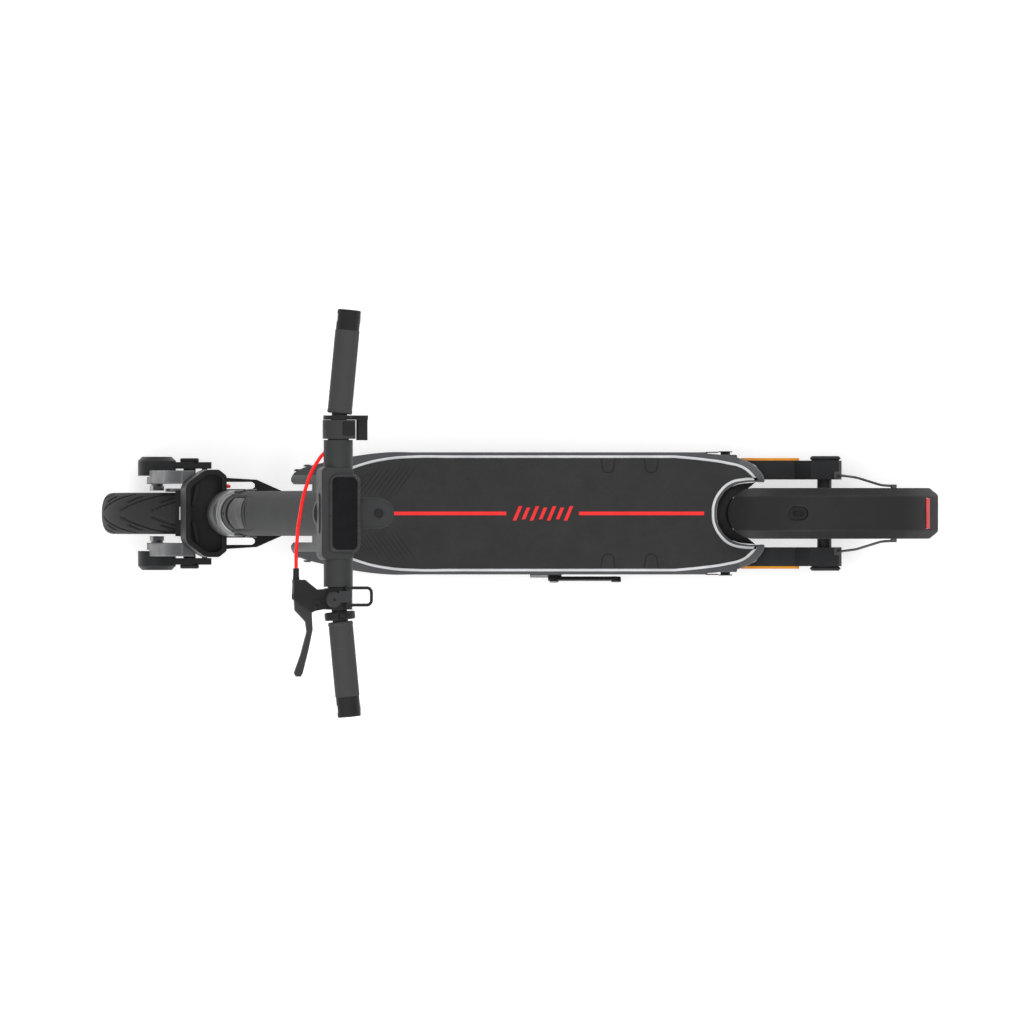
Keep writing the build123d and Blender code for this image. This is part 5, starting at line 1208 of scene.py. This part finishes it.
# ------------------------------------------------------------------ front end
@dataclass
class FrontEnd:
    """Badge, reflector and collar details round the steering head."""

    head_radius: float = 0.033
    head_top: float = 0.438

    def badge(self) -> bmesh.types.BMesh:
        """Returns the plain lens-shaped badge on the front of the head tube."""
        bm = outline([(0.0, 0.018, "c"), (-0.0085, 0.0095, "s"), (-0.0115, 0.0, "s"), (-0.0085, -0.0095, "s"),
                      (0.0, -0.018, "c"), (0.005, -0.01, "s"), (0.0065, 0.0, "s"), (0.005, 0.01, "s")], 8)
        bmesh.ops.subdivide_edges(bm, edges=bm.edges, cuts=1)
        raised(bm, 0.0, 0.0016, 0.0005)
        bmesh.ops.triangulate(bm, faces=bm.faces)
        bmesh.ops.subdivide_edges(bm, edges=[e for e in bm.edges if e.calc_length() > 0.004], cuts=2)
        moved(bm, Matrix.Rotation(math.pi / 2, 4, "Y"))
        for vert in bm.verts:
            vert.co.x += math.sqrt(self.head_radius**2 - min(abs(vert.co.y), 0.03) ** 2) - 0.0006
        return moved(bm, STEER.at(self.head_top - 0.024))

    def reflector(self) -> bmesh.types.BMesh:
        """Returns the small white reflector on the front of the front fender."""
        return block((0.0022, 0.0188, 0.0035), (0.4893, 0, 0.2806), 0.0006, 2)

    def groove_shadow_strips(self) -> bmesh.types.BMesh:
        """Returns two dark raised strips up the stem from the fold joint and a tapered bow across them, standing in for
        the shadow in the groove between the outer shell and the inner tube.
        """
        parts = []
        for side in (1, -1):
            path = []
            for along, left in ((0.482, 0.0262), (0.52, 0.0258), (0.58, 0.0254), (0.64, 0.025), (0.68, 0.0236), (0.705, 0.0205)):
                path.append((math.sqrt(0.032**2 - left**2), side * left, along))
            parts.append(tube(path, 0.0016, taper=[1, 1, 1, 1, 0.8, 0.3]))
        bow = []
        for left in (-0.0215, -0.016, -0.008, 0.0, 0.008, 0.016, 0.0215):
            bow.append((math.sqrt(0.032**2 - left**2), left, 0.664 - 0.024 * (left / 0.0215) ** 2))
        parts.append(tube(bow, 0.0014, taper=[0.3, 1, 1, 1, 1, 1, 0.3]))
        return moved(joined(parts), STEER.at(0))

    def axle_caps(self) -> bmesh.types.BMesh:
        """Returns the caps over the front axle's nuts."""
        return both_sides(block((0.027, 0.0062, 0.027), (0.4776, 0.0768, 0.127), 0.0022, 4))

    def rear_caps(self) -> bmesh.types.BMesh:
        """Returns the chamfered caps over the rear axle's nuts."""
        return both_sides(block((0.0445, 0.0066, 0.037), (-0.4424, 0.0797, 0.127), 0.003, 1))

    def collar_rim(self) -> bmesh.types.BMesh:
        """Returns the polished ring on top of the head tube."""
        profile = [(0.0276, 0.0), (0.0276, 0.0016), (0.0284, 0.0022), (0.0298, 0.0016), (0.0312, -0.001),
                   (0.0296, -0.001)]
        return moved(turned(profile, 96), STEER.at(self.head_top))

    def build(self) -> None:
        """Makes the front end's pieces."""
        piece(self.badge(), "head_badge", "deck", GLOSS_BLACK)
        piece(self.reflector(), "front_reflector", "fork", WHITE_REFLECTOR)
        piece(self.collar_rim(), "head_collar", "fork", SILVER)
        # Dark strips of painted shadow in the stem's groove.
        piece(self.groove_shadow_strips(), "stem_groove_shadow_strips", "stem", RIDGE_RUBBER)
        piece(self.axle_caps(), "front_axle_caps", "front_arm", ARM_GREY)
        piece(self.rear_caps(), "rear_axle_caps", "rear_arm", ARM_GREY)


# ------------------------------------------------------------------ scene
@dataclass
class Studio:
    """Floor, lights and camera."""

    centre_x: float = 0.008
    centre_y: float = 0.0009
    distance: float = 36.0
    lens: float = 868.0

    def floor(self) -> None:
        """Lays a large pale floor."""
        bm = bmesh.new()
        bmesh.ops.create_grid(bm, x_segments=1, y_segments=1, size=60)
        mesh = bpy.data.meshes.new("floor")
        bm.to_mesh(mesh)
        bm.free()
        material = bpy.data.materials.new("pale_floor")
        material.use_nodes = True
        shader = material.node_tree.nodes["Principled BSDF"]
        shader.inputs["Base Color"].default_value = (0.92, 0.92, 0.92, 1)
        shader.inputs["Roughness"].default_value = 0.9
        shader.inputs["Specular IOR Level"].default_value = 0.1
        shader.inputs["Emission Color"].default_value = (1, 1, 1, 1)
        shader.inputs["Emission Strength"].default_value = 0.34
        mesh.materials.append(material)
        ground = bpy.data.objects.new("floor", mesh)
        bpy.context.scene.collection.objects.link(ground)

    def light(self, name: str, spot: Point, size: float, power: float, shines: bool) -> None:
        """Hangs one soft square lamp.

        Args:
            name: The lamp's name.
            spot: Its place. It looks at the scooter's middle.
            size: Length of its sides.
            power: Its power.
            shines: Whether polished surfaces show it.
        """
        data = bpy.data.lights.new(name, "AREA")
        data.size = size
        data.energy = power
        lamp = bpy.data.objects.new(name, data)
        lamp.location = spot
        lamp.rotation_euler = (Vector((0, 0, 0.4)) - Vector(spot)).to_track_quat("-Z", "Y").to_euler()
        lamp.visible_camera = False
        lamp.visible_glossy = shines
        bpy.context.scene.collection.objects.link(lamp)

    def camera(self) -> None:
        """Hangs the camera straight above, with the front of the scooter at its left."""
        data = bpy.data.cameras.new("camera")
        data.lens = self.lens
        data.sensor_width = 36
        data.clip_end = 200
        camera = bpy.data.objects.new("camera", data)
        camera.location = (self.centre_x, self.centre_y, self.distance)
        camera.rotation_euler = (0, 0, math.pi)
        bpy.context.scene.collection.objects.link(camera)
        bpy.context.scene.camera = camera

    def build(self) -> None:
        """Sets the whole stage."""
        self.floor()
        world = bpy.data.worlds.new("studio")
        world.use_nodes = True
        world.node_tree.nodes["Background"].inputs["Color"].default_value = (1, 1, 1, 1)
        world.node_tree.nodes["Background"].inputs["Strength"].default_value = 0.46
        bpy.context.scene.world = world
        self.light("key_lamp", (1.6, 2.2, 3.2), 2.0, 58, True)
        self.light("fill_lamp", (-1.8, -2.0, 2.8), 2.4, 36, True)
        self.light("top_lamp", (0.0, 0.0, 4.2), 2.0, 68, False)
        bpy.context.scene.view_settings.view_transform = "Standard"
        self.camera()


def dress(nodes: dict[str, bpy.types.Object]) -> None:
    """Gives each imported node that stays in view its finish.

    Args:
        nodes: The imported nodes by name.
    """
    for name, node in nodes.items():
        finish = NODE_FINISHES.get(name)
        if finish is None:
            continue
        node.data.materials.clear()
        node.data.materials.append(finish.material())
        log.info("%s: %s", name, finish.name)


def main() -> None:
    """Builds the scooter's looks in order."""
    logging.basicConfig(level=logging.INFO, format="%(message)s")
    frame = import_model()
    makers: list[Callable[[], None]] = [
        Studio().build,
        Wheels().build,
        Deck().build,
        Springs().build,
        Handlebar().build,
        FrontEnd().build,
    ]
    for maker in makers:
        maker()
    dress(frame["nodes"])


if __name__ == "__main__":
    main()
